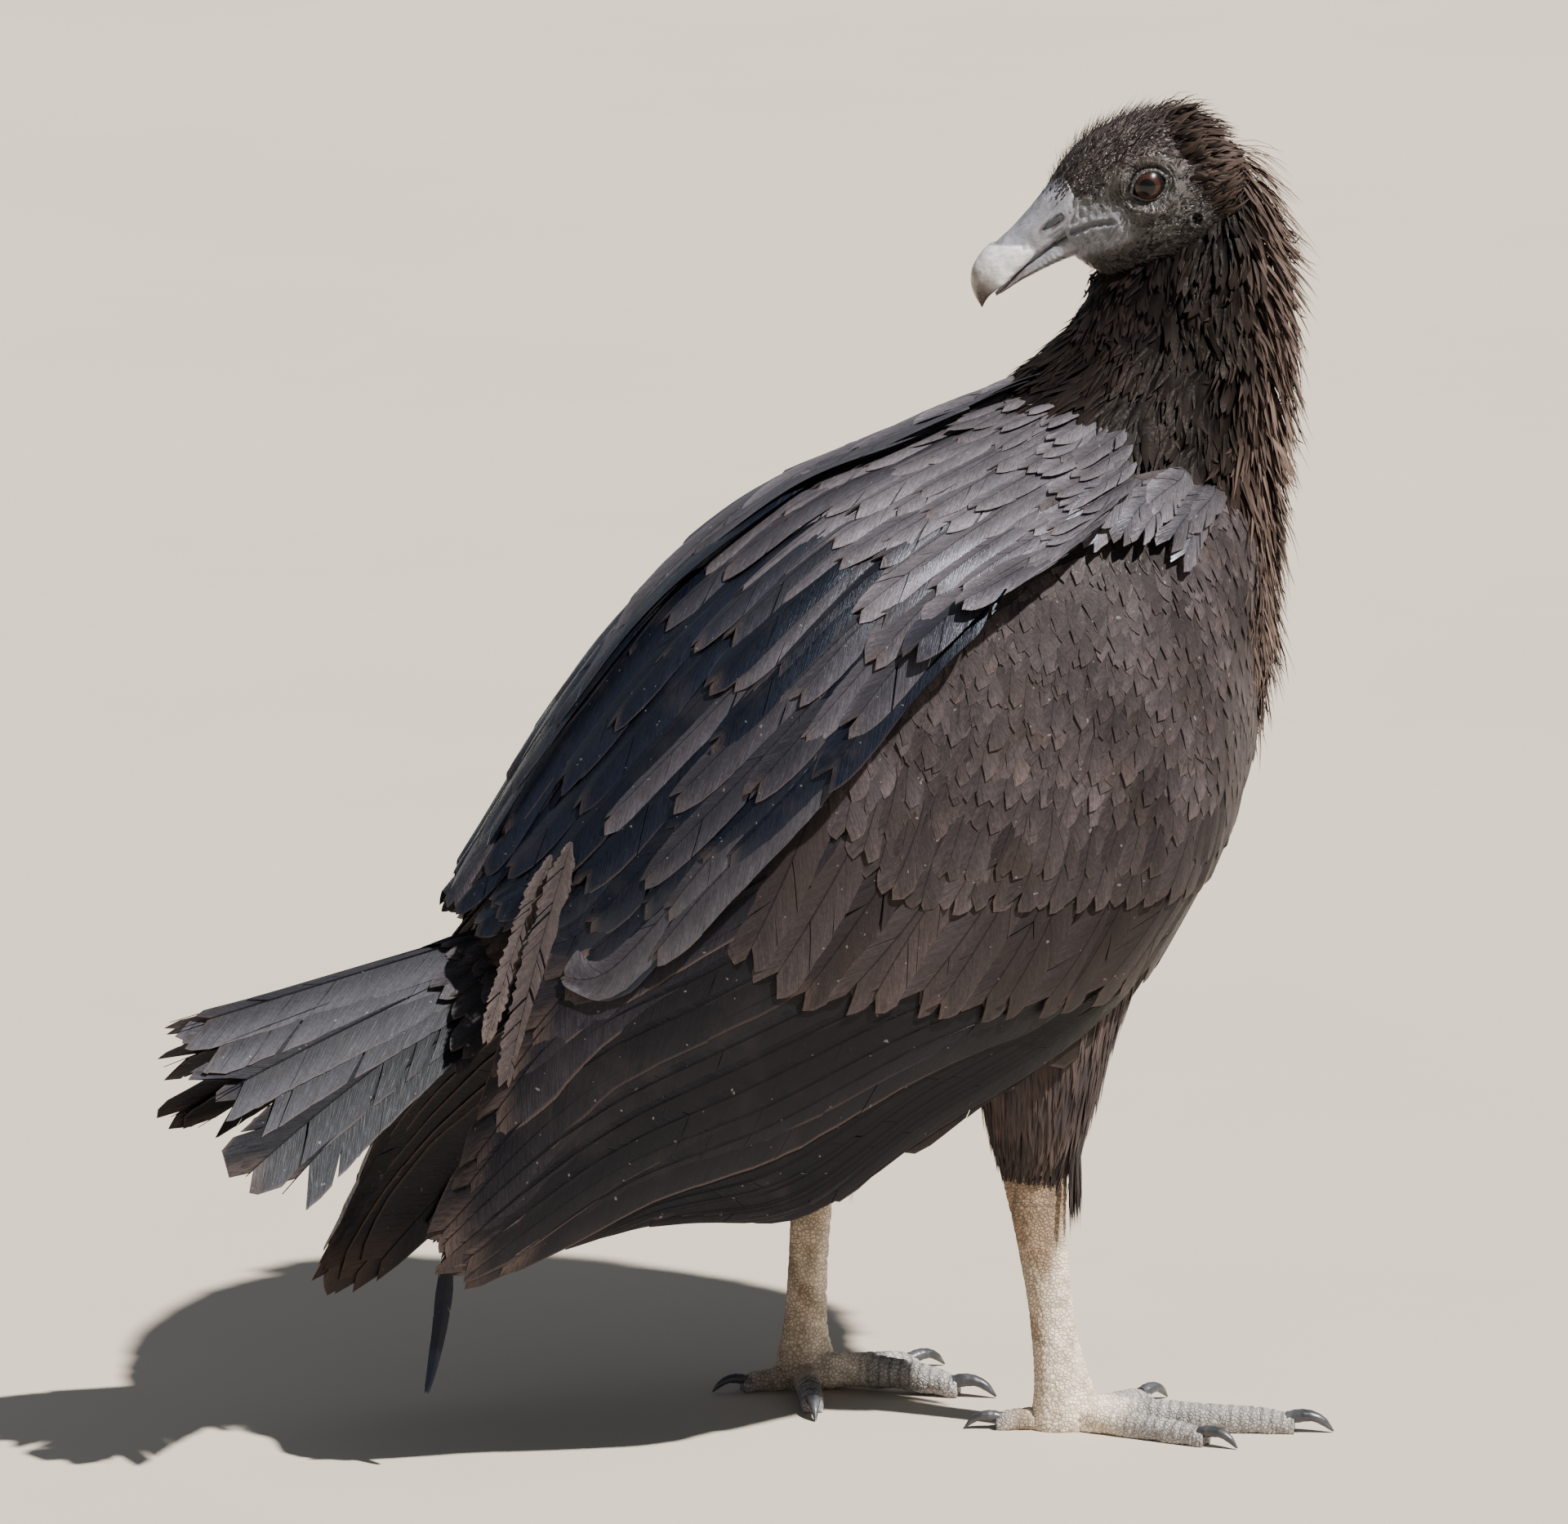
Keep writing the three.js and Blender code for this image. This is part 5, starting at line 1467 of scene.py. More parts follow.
def flight_feathers(sign, rng, tints):
    """A wing's secondaries and primaries with their shafts, the innermost on top."""
    face, coat, tilt = wing_face(sign), Coat(), -sign * 0.075
    # The last column dims the primaries, which lie in shade at the wing's lower edge: painted shade on their
    # colour, rust and trim.
    for roots, tips, count, outer, inner, kind, base, low, high, shade_dim in (
        (SECONDARY_ROOTS, SECONDARY_TIPS, 13, 13, 17, REMEX, -2.8, 1.2, 3.6, 1.0),
        (PRIMARY_ROOTS, PRIMARY_TIPS, 9, 7, 14, PRIMARY, -2.8 - 0.8, -0.6, 1.0, 0.26),
    ):
        f, root, tip = row(roots, tips, count, rng, 0.12, 0.004)
        half, lean = halves(sign, outer, inner)
        lift = high + (low - high) * f
        bend = sign * rng.uniform(0.0, 0.03, count)
        grey = shade(np.array(tints.flight) * shade_dim, count, rng, 0.16, tints.covert,
                     rng.random(count) * 0.25 * shade_dim, 0.8 * shade_dim)
        # Painted shade: feathers whose tips reach the wing's end are darkened, as they lie in shade there.
        grey[:, :3] *= (1 - 0.5 * step_up(tip[:, 0], 0.94, 1.01))[:, None]
        lay(coat, face, -sign, root, tip, half, kind, rng, grey, base, lift, tilt, bend, lean, WING_AREA)
        quill = shade(np.array(tints.flight) * 0.9, count, rng, 0.1, tints.rust, 0.1, 0)
        lay_shafts(coat, face, -sign, root, tip, min(outer, inner), kind, quill, base, lift, bend,
                   WING_AREA._replace(**FOR_SHAFTS), 0.85)
    return coat


def covert_way(place):
    """The direction in which coverts lie: 7 degrees off straight down in front, and up to 34 more
    towards the tail in the rear rows."""
    angle = np.radians(83 - 34 * np.clip(place[:, 0], 0, 1) * step_up(place[:, 1], 0, 0.5))
    return np.stack([-np.cos(angle), 0 * angle, -np.sin(angle)], -1)


def covert_rows(sign, rng, tints, lesser_rows):
    """A wing's coverts: the greater row, two median rows, rows of lesser coverts up to the shoulder
    and round the leading edge, and rows on the inner face."""
    face, coat, k = wing_face(sign), Coat(), -sign

    def add(tip, long, half, kind, slaty, turn=0.0, base=-1.2, lift=1.8, trim=0.4, tilt=0.05, vary=0.2):
        """Lays coverts of that length by their tips: slaty darkens them, and turn, in degrees, swings
        them off covert_way() about the wing's normal. Roots above the top edge are left out."""
        n = len(tip)
        way = covert_way(tip)
        lean = np.radians(turn + rng.normal(0, 3.5, n))
        way = np.stack([way[:, 0] * np.cos(lean) + way[:, 2] * np.sin(lean), way[:, 1],
                        way[:, 2] * np.cos(lean) - way[:, 0] * np.sin(lean)], -1)
        root = flow(face, tip, -way, long * rng.uniform(0.9, 1.1, n))
        kept = root[:, 1] > -0.05
        tip, root, n = tip[kept], root[kept], kept.sum()
        tone_and_shade = 1 - slaty * 0.55 - 0.25 * step_up(root[:, 1] - 0.2 * root[:, 0], 0.55, 0.9)
        old = np.where(rng.random(n) < 0.06, 0.14, 0.0) + rng.uniform(0, 0.06, n)
        tint = shade(tints.covert, n, rng, vary, tints.rust, old, trim)
        # hollow: painted shadow of the raised fold, which darkens the coverts lying just under it.
        hollow = hump(tip[:, 0] - 0.16, 0.07) * hump(tip[:, 1] - 0.12, 0.08)
        tone_and_shade = tone_and_shade * (1 - 0.93 * hollow) * (1 + 0.3 * ripple(face(*tip.T), 40, 12))
        tint[:, :3] *= tone_and_shade[:, None]
        lay(coat, face, k, root, tip, half * rng.uniform(0.9, 1.1, n), kind, rng, tint,
            base + rng.uniform(-0.2, 0.2, n), lift + rng.uniform(-0.3, 0.5, n), tilt * k,
            rng.normal(0, 0.02, n), area=WING_AREA)

    f = np.linspace(0, 1, 300)
    line = smooth(GREATER_TIPS, f)
    tip = strung(face, line, 12, rng, 0.15)
    long = np.interp(tip[:, 1], line[:, 1], np.interp(f, [0, 0.35, 0.6, 1], [92, 84, 62, 46]))
    add(tip, long, 9.5, COVERT._replace(webs=6, fall=0.86), 0.6, 8, -1.8, 1.9, 0.4, 0.06)
    line = smooth(MEDIAN_TIPS, f)
    add(strung(face, line, 9.5, rng, 0.2), 36, 7.4, COVERT, 0.35, 3, trim=0.42)
    line = flow(face, line, -covert_way(line), 12)
    add(strung(face, line, 8.8, rng, 0.25, 0.5), 30, 6.6, COVERT._replace(webs=3), 0.2, 2, trim=0.3)
    reach = 11.0
    for j in range(lesser_rows):
        reach = max(reach * 0.9, 5.4)
        line = flow(face, line, -covert_way(line), reach)
        tip = strung(face, line, 6.2 + 0.1 * reach, rng, 0.35, 0.5 * (j % 2))
        tip = tip + rng.normal(0, 0.004, tip.shape)
        upper = np.interp(tip[:, 0], (0.0, 0.1, 0.3, 0.45), (0.0, -0.04, -0.08, 0.0))
        kept = (tip[:, 0] > -0.2) & (tip[:, 1] > upper)
        share = min(j / 14, 1)
        add(tip[kept], 23 - 6 * share, 6.7 - 1.0 * share, LESSER, 0.1, base=-0.9, lift=1.2, trim=0.2,
            tilt=0.03, vary=0.16)
    for j, a in enumerate((-0.16, -0.25, -0.35, -0.45, -0.55)):
        b = 0.4 + 0.62 * (np.arange(12) + 0.5 * (j % 2) + rng.uniform(-0.2, 0.2, 12)) / 12
        tip = np.stack([np.full(12, a), b], -1) + np.array((-0.12, 0.05))
        lay(coat, face, k, tip - (-0.16, 0.06), tip, 9.5, COVERT._replace(webs=2), rng,
            shade(tints.body, 12, rng, 0.12), -1.0, 1.5, area=WING_AREA)
    return coat


class VULTURE_OT_wings(bpy.types.Operator):
    """Makes each wing's flight feathers, with their shafts, and its rows of coverts"""
    bl_idname = "vulture.wings"
    bl_label = "Wings"

    def execute(self, context):
        tints = colours()
        flight = vane_finish("vane_flight", (0.022, 0.017, 0.016), 0.44, gloss=0.22, sheen=0.02,
                             sheen_tint=(0.85, 0.88, 1), rim=0.2, tone_and_shade=0.5)
        cover = vane_finish("vane_covert", (0.027, 0.019, 0.016), 0.52, gloss=0.2, sheen=0.03,
                            sheen_tint=(0.8, 0.75, 0.75), glint=0.6)
        for side, sign in SIDES:
            rng = np.random.default_rng(11 + sign)
            made = flight_feathers(sign, rng, tints).object("flight_" + side)
            finish(made, "flight_feathers", flight, f"wing_{side}_secondaries", f"wing_{side}_primaries")
            made = covert_rows(sign, rng, tints, sizes().lesser_rows).object("coverts_" + side)
            finish(made, "plumage", cover, f"wing_{side}_coverts")
        return {"FINISHED"}


# Rows of shoulder feathers: place of the tips, length in millimetres, half width, spacing.
SHOULDER_ROWS = [
    (0.03, 26, 5.5, 8.5), (0.06, 30, 6, 9), (0.095, 36, 6.2, 9), (0.135, 42, 6.6, 9.5), (0.18, 50, 7, 9.5),
    (0.23, 60, 7.4, 10), (0.29, 70, 7.8, 10.5), (0.36, 82, 8.2, 10.5), (0.44, 94, 8.6, 11),
    (0.53, 104, 9, 11.5), (0.63, 112, 9.2, 11.5), (0.73, 118, 9.2, 11.5), (0.83, 120, 9, 11),
    (0.92, 118, 8.6, 10.5), (0.99, 112, 8.2, 10),
]
# Millimetres for a move of 1 along the shoulder.
SHOULDER_LONG = 290
# Tips, as places on the right wing, of the ragged feathers that stand over it in front of the
# shoulder.
FOLD_TIPS = [(0.225, 0.04), (0.21, 0.07), (0.195, 0.035), (0.185, 0.09), (0.17, 0.055), (0.165, 0.11),
             (0.15, 0.07), (0.15, 0.155), (0.13, 0.10), (0.145, 0.195), (0.115, 0.14)]


class VULTURE_OT_shoulders(bpy.types.Operator):
    """Makes the feathers of each shoulder: slate brown and short in front, long, glossy and loosely
    folded towards the rump, with a ragged raised fold along their lower front edge, and a row over
    the spine"""
    bl_idname = "vulture.shoulders"
    bl_label = "Shoulders"

    def lay_fold(self, coat, rng, tints):
        """Ragged feathers that run back from the neck's base and stand over the right wing."""
        n = len(FOLD_TIPS)
        tip = np.array(FOLD_TIPS) + rng.normal(0, 0.004, (n, 2))
        root = tip - np.stack([rng.uniform(0.11, 0.16, n), rng.uniform(0.06, 0.12, n)], -1)
        tint = shade(tints.mantle, n, rng, 0.25, tints.covert, rng.uniform(0.2, 0.8, n), trim=0.3)
        kind = SCAPULAR._replace(webs=5, split=0.5, ragged=0.05, fray=0.12)
        lay(coat, wing_face(-1), 1, root, tip, rng.uniform(4.5, 6.5, n), kind, rng, tint, 0.4,
            rng.uniform(4, 8, n), 0.12, rng.normal(0, 0.05, n), area=SHOULDER_AREA,
            curl=rng.uniform(-1.5, 0.5, n))

    def execute(self, context):
        tints = colours()
        look = vane_finish("vane_shoulder", (0.024, 0.020, 0.021), 0.35, gloss=0.42, sheen=0.02,
                           sheen_tint=(0.72, 0.82, 1.0), glint=0.6, tone_and_shade=0.45)
        f = np.linspace(0, 1, 200)
        for side, sign in SIDES:
            rng = np.random.default_rng(31 + sign)
            face, coat = shoulder_face(sign), Coat()
            for j, (a, long, half, gap) in enumerate(SHOULDER_ROWS):
                kind = MANTLE if a < 0.22 else SCAPULAR
                line = np.stack([np.full(200, a), 0.04 + f], -1)
                tip = strung(face, line, gap, rng, 0.25, 0.5 * (j % 2) - 0.25)
                tip = np.concatenate([tip, [(a + 0.01, 0.0)]])
                n = len(tip)
                b = tip[:, 1]
                loose = step_up(a, 0.2, 0.5)
                tip = tip + np.stack([rng.normal(0, 0.008 + 0.030 * loose, n), np.zeros(n)], -1)
                tip = np.minimum(tip, np.array((1.02, 1.03 - 0.12 * step_up(a, 0.7, 1))))
                lengths = long * rng.uniform(0.9, 1.12, n)
                root = tip - np.stack([lengths / SHOULDER_LONG, rng.normal(0, 0.02, n) + 0.03 + 0.05 * b], -1)
                front = 1 - step_up(a - 0.16 * rng.random(n) + 0.14 * (b - 0.5), 0.23, 0.46)
                lobe = (rng.random(n) < 0.14) * rng.uniform(0.3, 0.7, n)
                # Painted shade: the left shoulder, on the side away from the sun, takes less of the slate
                # colour and stays darker.
                slate = np.clip(front + lobe, 0, 1) * (1 if sign < 0 else 0.45)
                tint = shade(tints.gloss, n, rng, 0.14, tints.mantle, slate, trim=0.5)
                fold = step_up(b, 0.82, 1.02) * step_up(0.55 - a, 0, 0.2) * step_up(a, 0.05, 0.2)
                base = -2.2 + rng.uniform(-0.3, 0.3, n) - 1.2 * b * loose
                tilt = -sign * 0.10 * np.ones(n)
                base[-1], tilt[-1] = -1.4 + 0.4 * sign, 0.0
                lay(coat, face, -sign, root, tip, half * rng.uniform(0.85, 1.12, n), kind, rng, tint, base,
                    2.4 + rng.uniform(-0.6, 0.9, n) + 4.5 * fold, tilt, rng.normal(0, 0.03, n), 1.0,
                    SHOULDER_AREA, rng.uniform(-0.6, 0.8, n) + 4.0 * fold * rng.uniform(0.3, 1.2, n))
            if sign < 0:
                self.lay_fold(coat, rng, tints)
            finish(coat.object("shoulder_feathers_" + side), "plumage", look, "shoulder_" + side)
        return {"FINISHED"}


class VULTURE_OT_tail(bpy.types.Operator):
    """Makes the twelve tail feathers with their shafts, the middle ones on top, and the short
    feathers over and under their roots"""
    bl_idname = "vulture.tail"
    bl_label = "Tail"

    def execute(self, context):
        tints, rng, coat = colours(), np.random.default_rng(41), Coat()
        look = vane_finish("vane_tail", (0.026, 0.022, 0.021), 0.48, gloss=0.14, sheen=0.02,
                           sheen_tint=(0.85, 0.9, 1), barbs=0.8, glint=0.35, rim=0.3, tone_and_shade=0.4)
        on_tail = coat, tail_face
        for sign in (-1, 1):
            i = np.arange(6)
            v = sign * (i + np.array((0.35, 0.3, 0.62, 0.35, 0.7, 0.55))) / 6
            root = np.stack([v * 0.8, np.full(6, -0.05)], -1)
            tip = np.stack([v + sign * 0.01, np.array([1.0, 0.97, 1.0, 0.94, 1.0, 0.93])], -1)
            # Painted shade: the outer feathers, which lie under the others, get darker and, on the left,
            # bluer.
            tint = shade(tints.tail, 6, rng, 0.12, tints.flight, 0.12 * i * (sign > 0), trim=0.5)
            tint[:, :3] *= (1.5 - 0.25 * i)[:, None]
            base = 0.6 - 0.75 * i
            half, lean = halves(sign, 11.5, 14.5)
            lay(*on_tail, 1, root, tip, half, RECTRIX, rng, tint, base, 0.6, -sign * 0.05, 0.0, lean,
                TAIL_AREA)
            quill = shade(np.array(tints.tail) * 0.7, 6, rng, 0.08, trim=0)
            lay_shafts(*on_tail, 1, root, tip, 11.5, RECTRIX, quill, base, 0.6, 0.0,
                       TAIL_AREA._replace(**FOR_SHAFTS), 0.8)
        count, rows = 11, 3
        for out, reach, base in ((1, 0.24, 1.0), (-1, 0.30, 0.6)):
            for j in range(rows):
                v = np.arange(count) + 0.5 * (j % 2) + rng.uniform(-0.2, 0.2, count)
                v = (v / (count - 0.5)) * 2.1 - 1.05
                s = np.full(count, -0.30 + 0.11 * j)
                root = np.stack([v * 0.8, s], -1)
                tip = np.stack([v, s + reach + rng.uniform(0, 0.09, count)], -1)
                tint = shade(tints.tail, count, rng, 0.15, tints.covert, 0.3, trim=0.4)
                lay(*on_tail, out, root, tip, 6.5, COVERT, rng, tint, base + 0.8 * (rows - j), 0.6, 0.0,
                    rng.normal(0, 0.03, count), area=TAIL_AREA)
        finish(coat.object("tail_feathers"), "flight_feathers", look, "tail_left", "tail_right")
        return {"FINISHED"}


def plane_face(start, end):
    """A flat upright surface from one point to another, 60 mm wide."""
    start, end = np.array(start, float), np.array(end, float)
    across = unit(np.cross(end - start, (0, 1, 0)))
    def face(p, q):
        p, q = np.broadcast_arrays(p, q)
        return start + (end - start) * p[..., None] + 60 * across * (q - 0.5)[..., None]
    return face


class VULTURE_OT_loose_feathers(bpy.types.Operator):
    """Makes the one narrow feather that hangs free below the right wing's tip, and the bleached,
    frayed ones between the right wing and the tail"""
    bl_idname = "vulture.loose_feathers"
    bl_label = "Loose Feathers"

    def execute(self, context):
        tints, rng = colours(), np.random.default_rng(51)
        area = Area((-0.5, 0), (1.5, 1))
        root, tip = np.array([(-0.16, 0.5)]), np.array([(1.02, 0.5)])
        coat = Coat()
        kind = COVERT._replace(webs=4, fall=0.30, point=1.3, grow=0.4, split=0.2)
        tint = shade(tints.gloss, 1, rng, 0, trim=0.1)
        lay(coat, plane_face(*LOOSE_FEATHER), 1, root, tip, 3.4, kind, rng, tint, 0.0, 0.3, 0.03, 0.03,
            area=area)
        look = vane_finish("vane_loose", (0.012, 0.01, 0.01), 0.4, gloss=0.2)
        finish(coat.object("hanging_feather"), "flight_feathers", look, "feather_loose")
        coat = Coat()
        kind = REMEX._replace(webs=16, fray=0.26, split=0.08, fall=0.70, ragged=0.04, sweep=1.6)
        for k, (start, end, half, base) in enumerate(BLEACHED_FEATHERS):
            area = Area((-0.5, -0.5 * k), (1.5, 4 - 0.5 * k))
            tint = shade(tints.bleached, 1, rng, 0.25, trim=0.5)
            lay(coat, plane_face(start, end), 1, root + (0.1, 0), tip, half, kind, rng, tint, base, 0.8,
                0.06, -0.02, area=area)
        look = vane_finish("vane_bleached", (0.06, 0.045, 0.04), 0.55, gloss=0.2)
        finish(coat.object("bleached_feathers"), "flight_feathers", look)
        return {"FINISHED"}


class VULTURE_OT_body(bpy.types.Operator):
    """Makes the soft feathers of breast, belly, flanks and back, which lie towards the tail"""
    bl_idname = "vulture.body"
    bl_label = "Body Feathers"

    def execute(self, context):
        tints, rng, coat = colours(), np.random.default_rng(61), Coat()
        face = loft(BODY_ROWS, MIDLINE)
        gap = sizes().body_gap / MM
        root = scatter(face, (0.05, 0.64), ROUND, (gap, 0.8 * gap), rng)
        n = len(root)
        tip = aim(face, root, (-1, 0), rng.uniform(24, 31, n))
        tip[:, 1] += rng.normal(0, 0.05, n)
        tint = shade(tints.body, n, rng, 0.2, tints.rust, rng.random(n) ** 4 * 0.3, trim=0.4)
        lay(coat, face, 1, root, tip, rng.uniform(6, 8, n), CONTOUR, rng, tint, -2.5,
            rng.uniform(2, 3.6, n), 0.0, rng.normal(0, 0.03, n), area=LOFT_AREA)
        look = vane_finish("vane_body", (0.020, 0.015, 0.013), 0.55, gloss=0.18, barbs=1.0,
                           sheen_tint=(0.8, 0.75, 0.75))
        finish(coat.object("body_feathers"), "plumage", look)
        return {"FINISHED"}


class VULTURE_OT_hackles(bpy.types.Operator):
    """Makes the ruffled feathers of the neck: soft overlapping lobes over narrow, pointed hackles,
    which stand out at the nape and behind the crown"""
    bl_idname = "vulture.hackles"
    bl_label = "Neck Hackles"

    def shadow(self, root):
        """Painted shadow on the plumage of the sides and the throat, in the head's shade: 0.25, against 1 at
        the nape.
        """
        turn = root[:, 1]
        return 1 - 0.75 * step_up(-np.cos(turn - 0.15), -0.85, 0.1) * step_up(np.cos(turn), -0.8, 0)

    def execute(self, context):
        tints, rng, coat = colours(), np.random.default_rng(71), Coat()
        face = loft(BODY_ROWS, MIDLINE)
        gap = sizes().hackle_gap / MM
        root = scatter(face, (0.50, 0.995), ROUND, (1.2 * gap, gap), rng, 0.45)
        n = len(root)
        at = face(*root.T)
        high = step_up(root[:, 0], 0.55, 0.98)
        nape = step_up(-np.cos(root[:, 1]), 0.0, 0.8)
        long = rng.uniform(13, 21, n) * (1 - 0.5 * high) * (1 + 0.25 * nape + 0.5 * nape * high ** 4)
        clump = ripple(at, 24, 72, stretch=(1, 1, 1.6))
        tip = aim(face, root, (-1, 0), long)
        tip[:, 1] += rng.normal(0, 0.07, n) + 0.16 * ripple(at, 30, 74)
        half = rng.uniform(1.1, 1.9, n) * (1 - 0.35 * high)
        rise = np.maximum(rng.normal(2.2, 1.0, n) + 2.0 * clump, 0.4) * (1 - 0.3 * high)
        rise = rise + nape * (0.24 + 0.34 * high) * long * rng.uniform(0.3, 1.4, n)
        rusty = np.clip(ripple(at, 26, 73) * 0.3 + rng.random(n) * 0.15 + 0.15 * nape, 0, 0.5)
        rusty = rusty + 0.6 * hump(np.linalg.norm(at - RUSTY_PATCH, axis=-1), 17)
        rusty = np.clip(rusty * 0.2 + 0.9 * nape ** 2, 0, 0.95)
        tint = shade(tints.hackle, n, rng, 0.35, tints.rust, rusty, trim=0.15 + 0.85 * nape)
        tint[:, :3] *= self.shadow(root)[:, None]
        lay_locks(coat, face, root, tip, half, tint, -2.2, rise + 1.2, rng.normal(0, 0.05, n), LOFT_AREA,
                  depth=0.35, twist=rng.normal(0, 0.35, n))
        root = scatter(face, (0.50, 0.93), ROUND, (2.6 * gap, 2.1 * gap), rng, 0.4)
        n = len(root)
        at = face(*root.T)
        low = 1 - step_up(root[:, 0], 0.6, 0.93)
        nape = step_up(-np.cos(root[:, 1]), 0.0, 0.8)
        tip = aim(face, root, (-1, 0), rng.uniform(15, 22, n) * (0.7 + 0.3 * low))
        tip[:, 1] += rng.normal(0, 0.05, n) + 0.16 * ripple(at, 30, 74)
        clump = ripple(at, 24, 72, stretch=(1, 1, 1.6))
        tint = shade(tints.hackle, n, rng, 0.3, tints.rust, 0.04 * rng.random(n) + 0.3 * nape, trim=0.1)
        tint[:, :3] *= self.shadow(root)[:, None]
        lay(coat, face, 1, root, tip, rng.uniform(2.6, 3.8, n) * (0.7 + 0.3 * low), CONTOUR, rng, tint, -1.4,
            np.maximum(2.2 + 1.8 * clump + rng.normal(0, 0.7, n), 0.5) + 2.0 * nape, 0.0,
            rng.normal(0, 0.04, n), area=LOBE_AREA, curl=rng.uniform(-2.0, 1.5, n))
        root = scatter(head_face, (0.015, 0.45), ROUND, (1.9, 1.8), rng, 0.5)
        place = in_head(head_face(*root.T))
        f, u = place[:, 0], place[:, 1]
        rear = step_up(-f + 0.12 * u, 9, 15) * step_up(u, -34, -22)
        kept = rng.random(len(root)) < rear
        root, rear, u = root[kept], rear[kept], u[kept]
        n = len(root)
        crest = step_up(u, 2, 18)
        long = rng.uniform(7, 13, n) * (0.5 + 0.5 * rear) * (1 + 0.15 * crest)
        tip = aim(head_face, root, (-1, 0), 0.7 * long)
        tip[:, 1] += rng.normal(0, 0.08, n)
        tint = shade(tints.hackle, n, rng, 0.4, tints.rust, 0.06 + rng.random(n) ** 2 * 0.35, trim=0.7)
        lay_locks(coat, head_face, root, tip, rng.uniform(0.7, 1.2, n), tint, -0.5,
                  long * rng.uniform(0.35, 0.9, n) * (0.75 + 0.25 * crest), area=CREST_AREA)
        look = lock_finish("lock_hackle", 0.52, gloss=0.07, sheen=0.01, sheen_tint=(0.95, 0.86, 0.82))
        finish(coat.object("neck_hackles"), "plumage", look)
        return {"FINISHED"}


class VULTURE_OT_bristles(bpy.types.Operator):
    """Makes the short bristles of the head: close on crown, nape, chin and bill base, and thin on
    the face"""
    bl_idname = "vulture.bristles"
    bl_label = "Head Bristles"

    def execute(self, context):
        tints, rng, coat = colours(), np.random.default_rng(81), Coat()
        gap = sizes().bristle_gap / MM
        root = scatter(head_face, (0.02, 0.99), ROUND, (gap, gap), rng, 0.5)
        place = in_head(head_face(*root.T))
        f, u = place[:, 0], place[:, 1]
        crown = step_up(u + 0.2 * (8 - f), 13, 19)
        rear = step_up(-f, 5, 13)
        chin = step_up(-u, 11, 18) * step_up(-f, -36, -26)
        base = step_up(u, 9, 14) * step_up(f, 14, 22)
        thick = np.clip(0.22 + crown + rear + chin + base + 0.4 * cheek(f, u), 0, 1)
        thick = thick * step_up(from_eye(f, u), 8.6, 11)
        thick = np.where(line_distance(f, u, GAPE) < 2.2, 0, thick) * (1 - bare(f, u))
        kept = rng.random(len(root)) < thick
        root, place, thick = root[kept], place[kept], thick[kept]
        n = len(root)
        long = rng.uniform(1.6, 4.4, n) * (0.4 + 0.6 * thick) * (1 - 0.3 * step_up(place[:, 0], 10, 30))
        long = long * (1 + 0.5 * step_up(place[:, 1], 12, 22))
        tip = aim(head_face, root, (-1, 0), long)
        tip[:, 1] += rng.normal(0, 0.05, n)
        rise = long * rng.uniform(0.15, 0.70, n) * (1 + 0.9 * step_up(place[:, 1], 12, 24))
        # Painted light: the bristles grow paler up towards the crown, where the sun falls from above.
        crown_light = 0.25 + 0.75 * step_up(place[:, 1], 4, 20)
        pale = 0.75 * (np.array(tints.mantle) + np.array(tints.rust))
        tint = shade(tints.hackle, n, rng, 0.35, pale, rng.random(n) * crown_light, trim=0.5)
        lay_locks(coat, head_face, root, tip, rng.uniform(0.20, 0.40, n), tint, -0.15, rise,
                  area=LOFT_AREA, rings=2, depth=0.5)
        root = scatter(upper_bill_face, (0.0, 0.17), (-1.25, 1.25), (gap, gap), rng, 0.5)
        root = root[rng.random(len(root)) > step_up(root[:, 0], 0.05, 0.16)]
        n = len(root)
        long = rng.uniform(1.2, 2.6, n)
        tip = aim(upper_bill_face, root, (-1, 0), long)
        tint = shade(tints.hackle, n, rng, 0.35, tints.rust, rng.random(n) ** 1.5 * 0.6, trim=0.35)
        lay_locks(coat, upper_bill_face, root, tip, rng.uniform(0.20, 0.38, n), tint, -0.15,
                  long * rng.uniform(0.2, 0.7, n), area=BILL_AREA, rings=2, depth=0.5)
        look = lock_finish("lock_bristle", 0.5, gloss=0.25, sheen=0.02, scale=90)
        finish(coat.object("head_bristles"), "plumage", look)
        return {"FINISHED"}


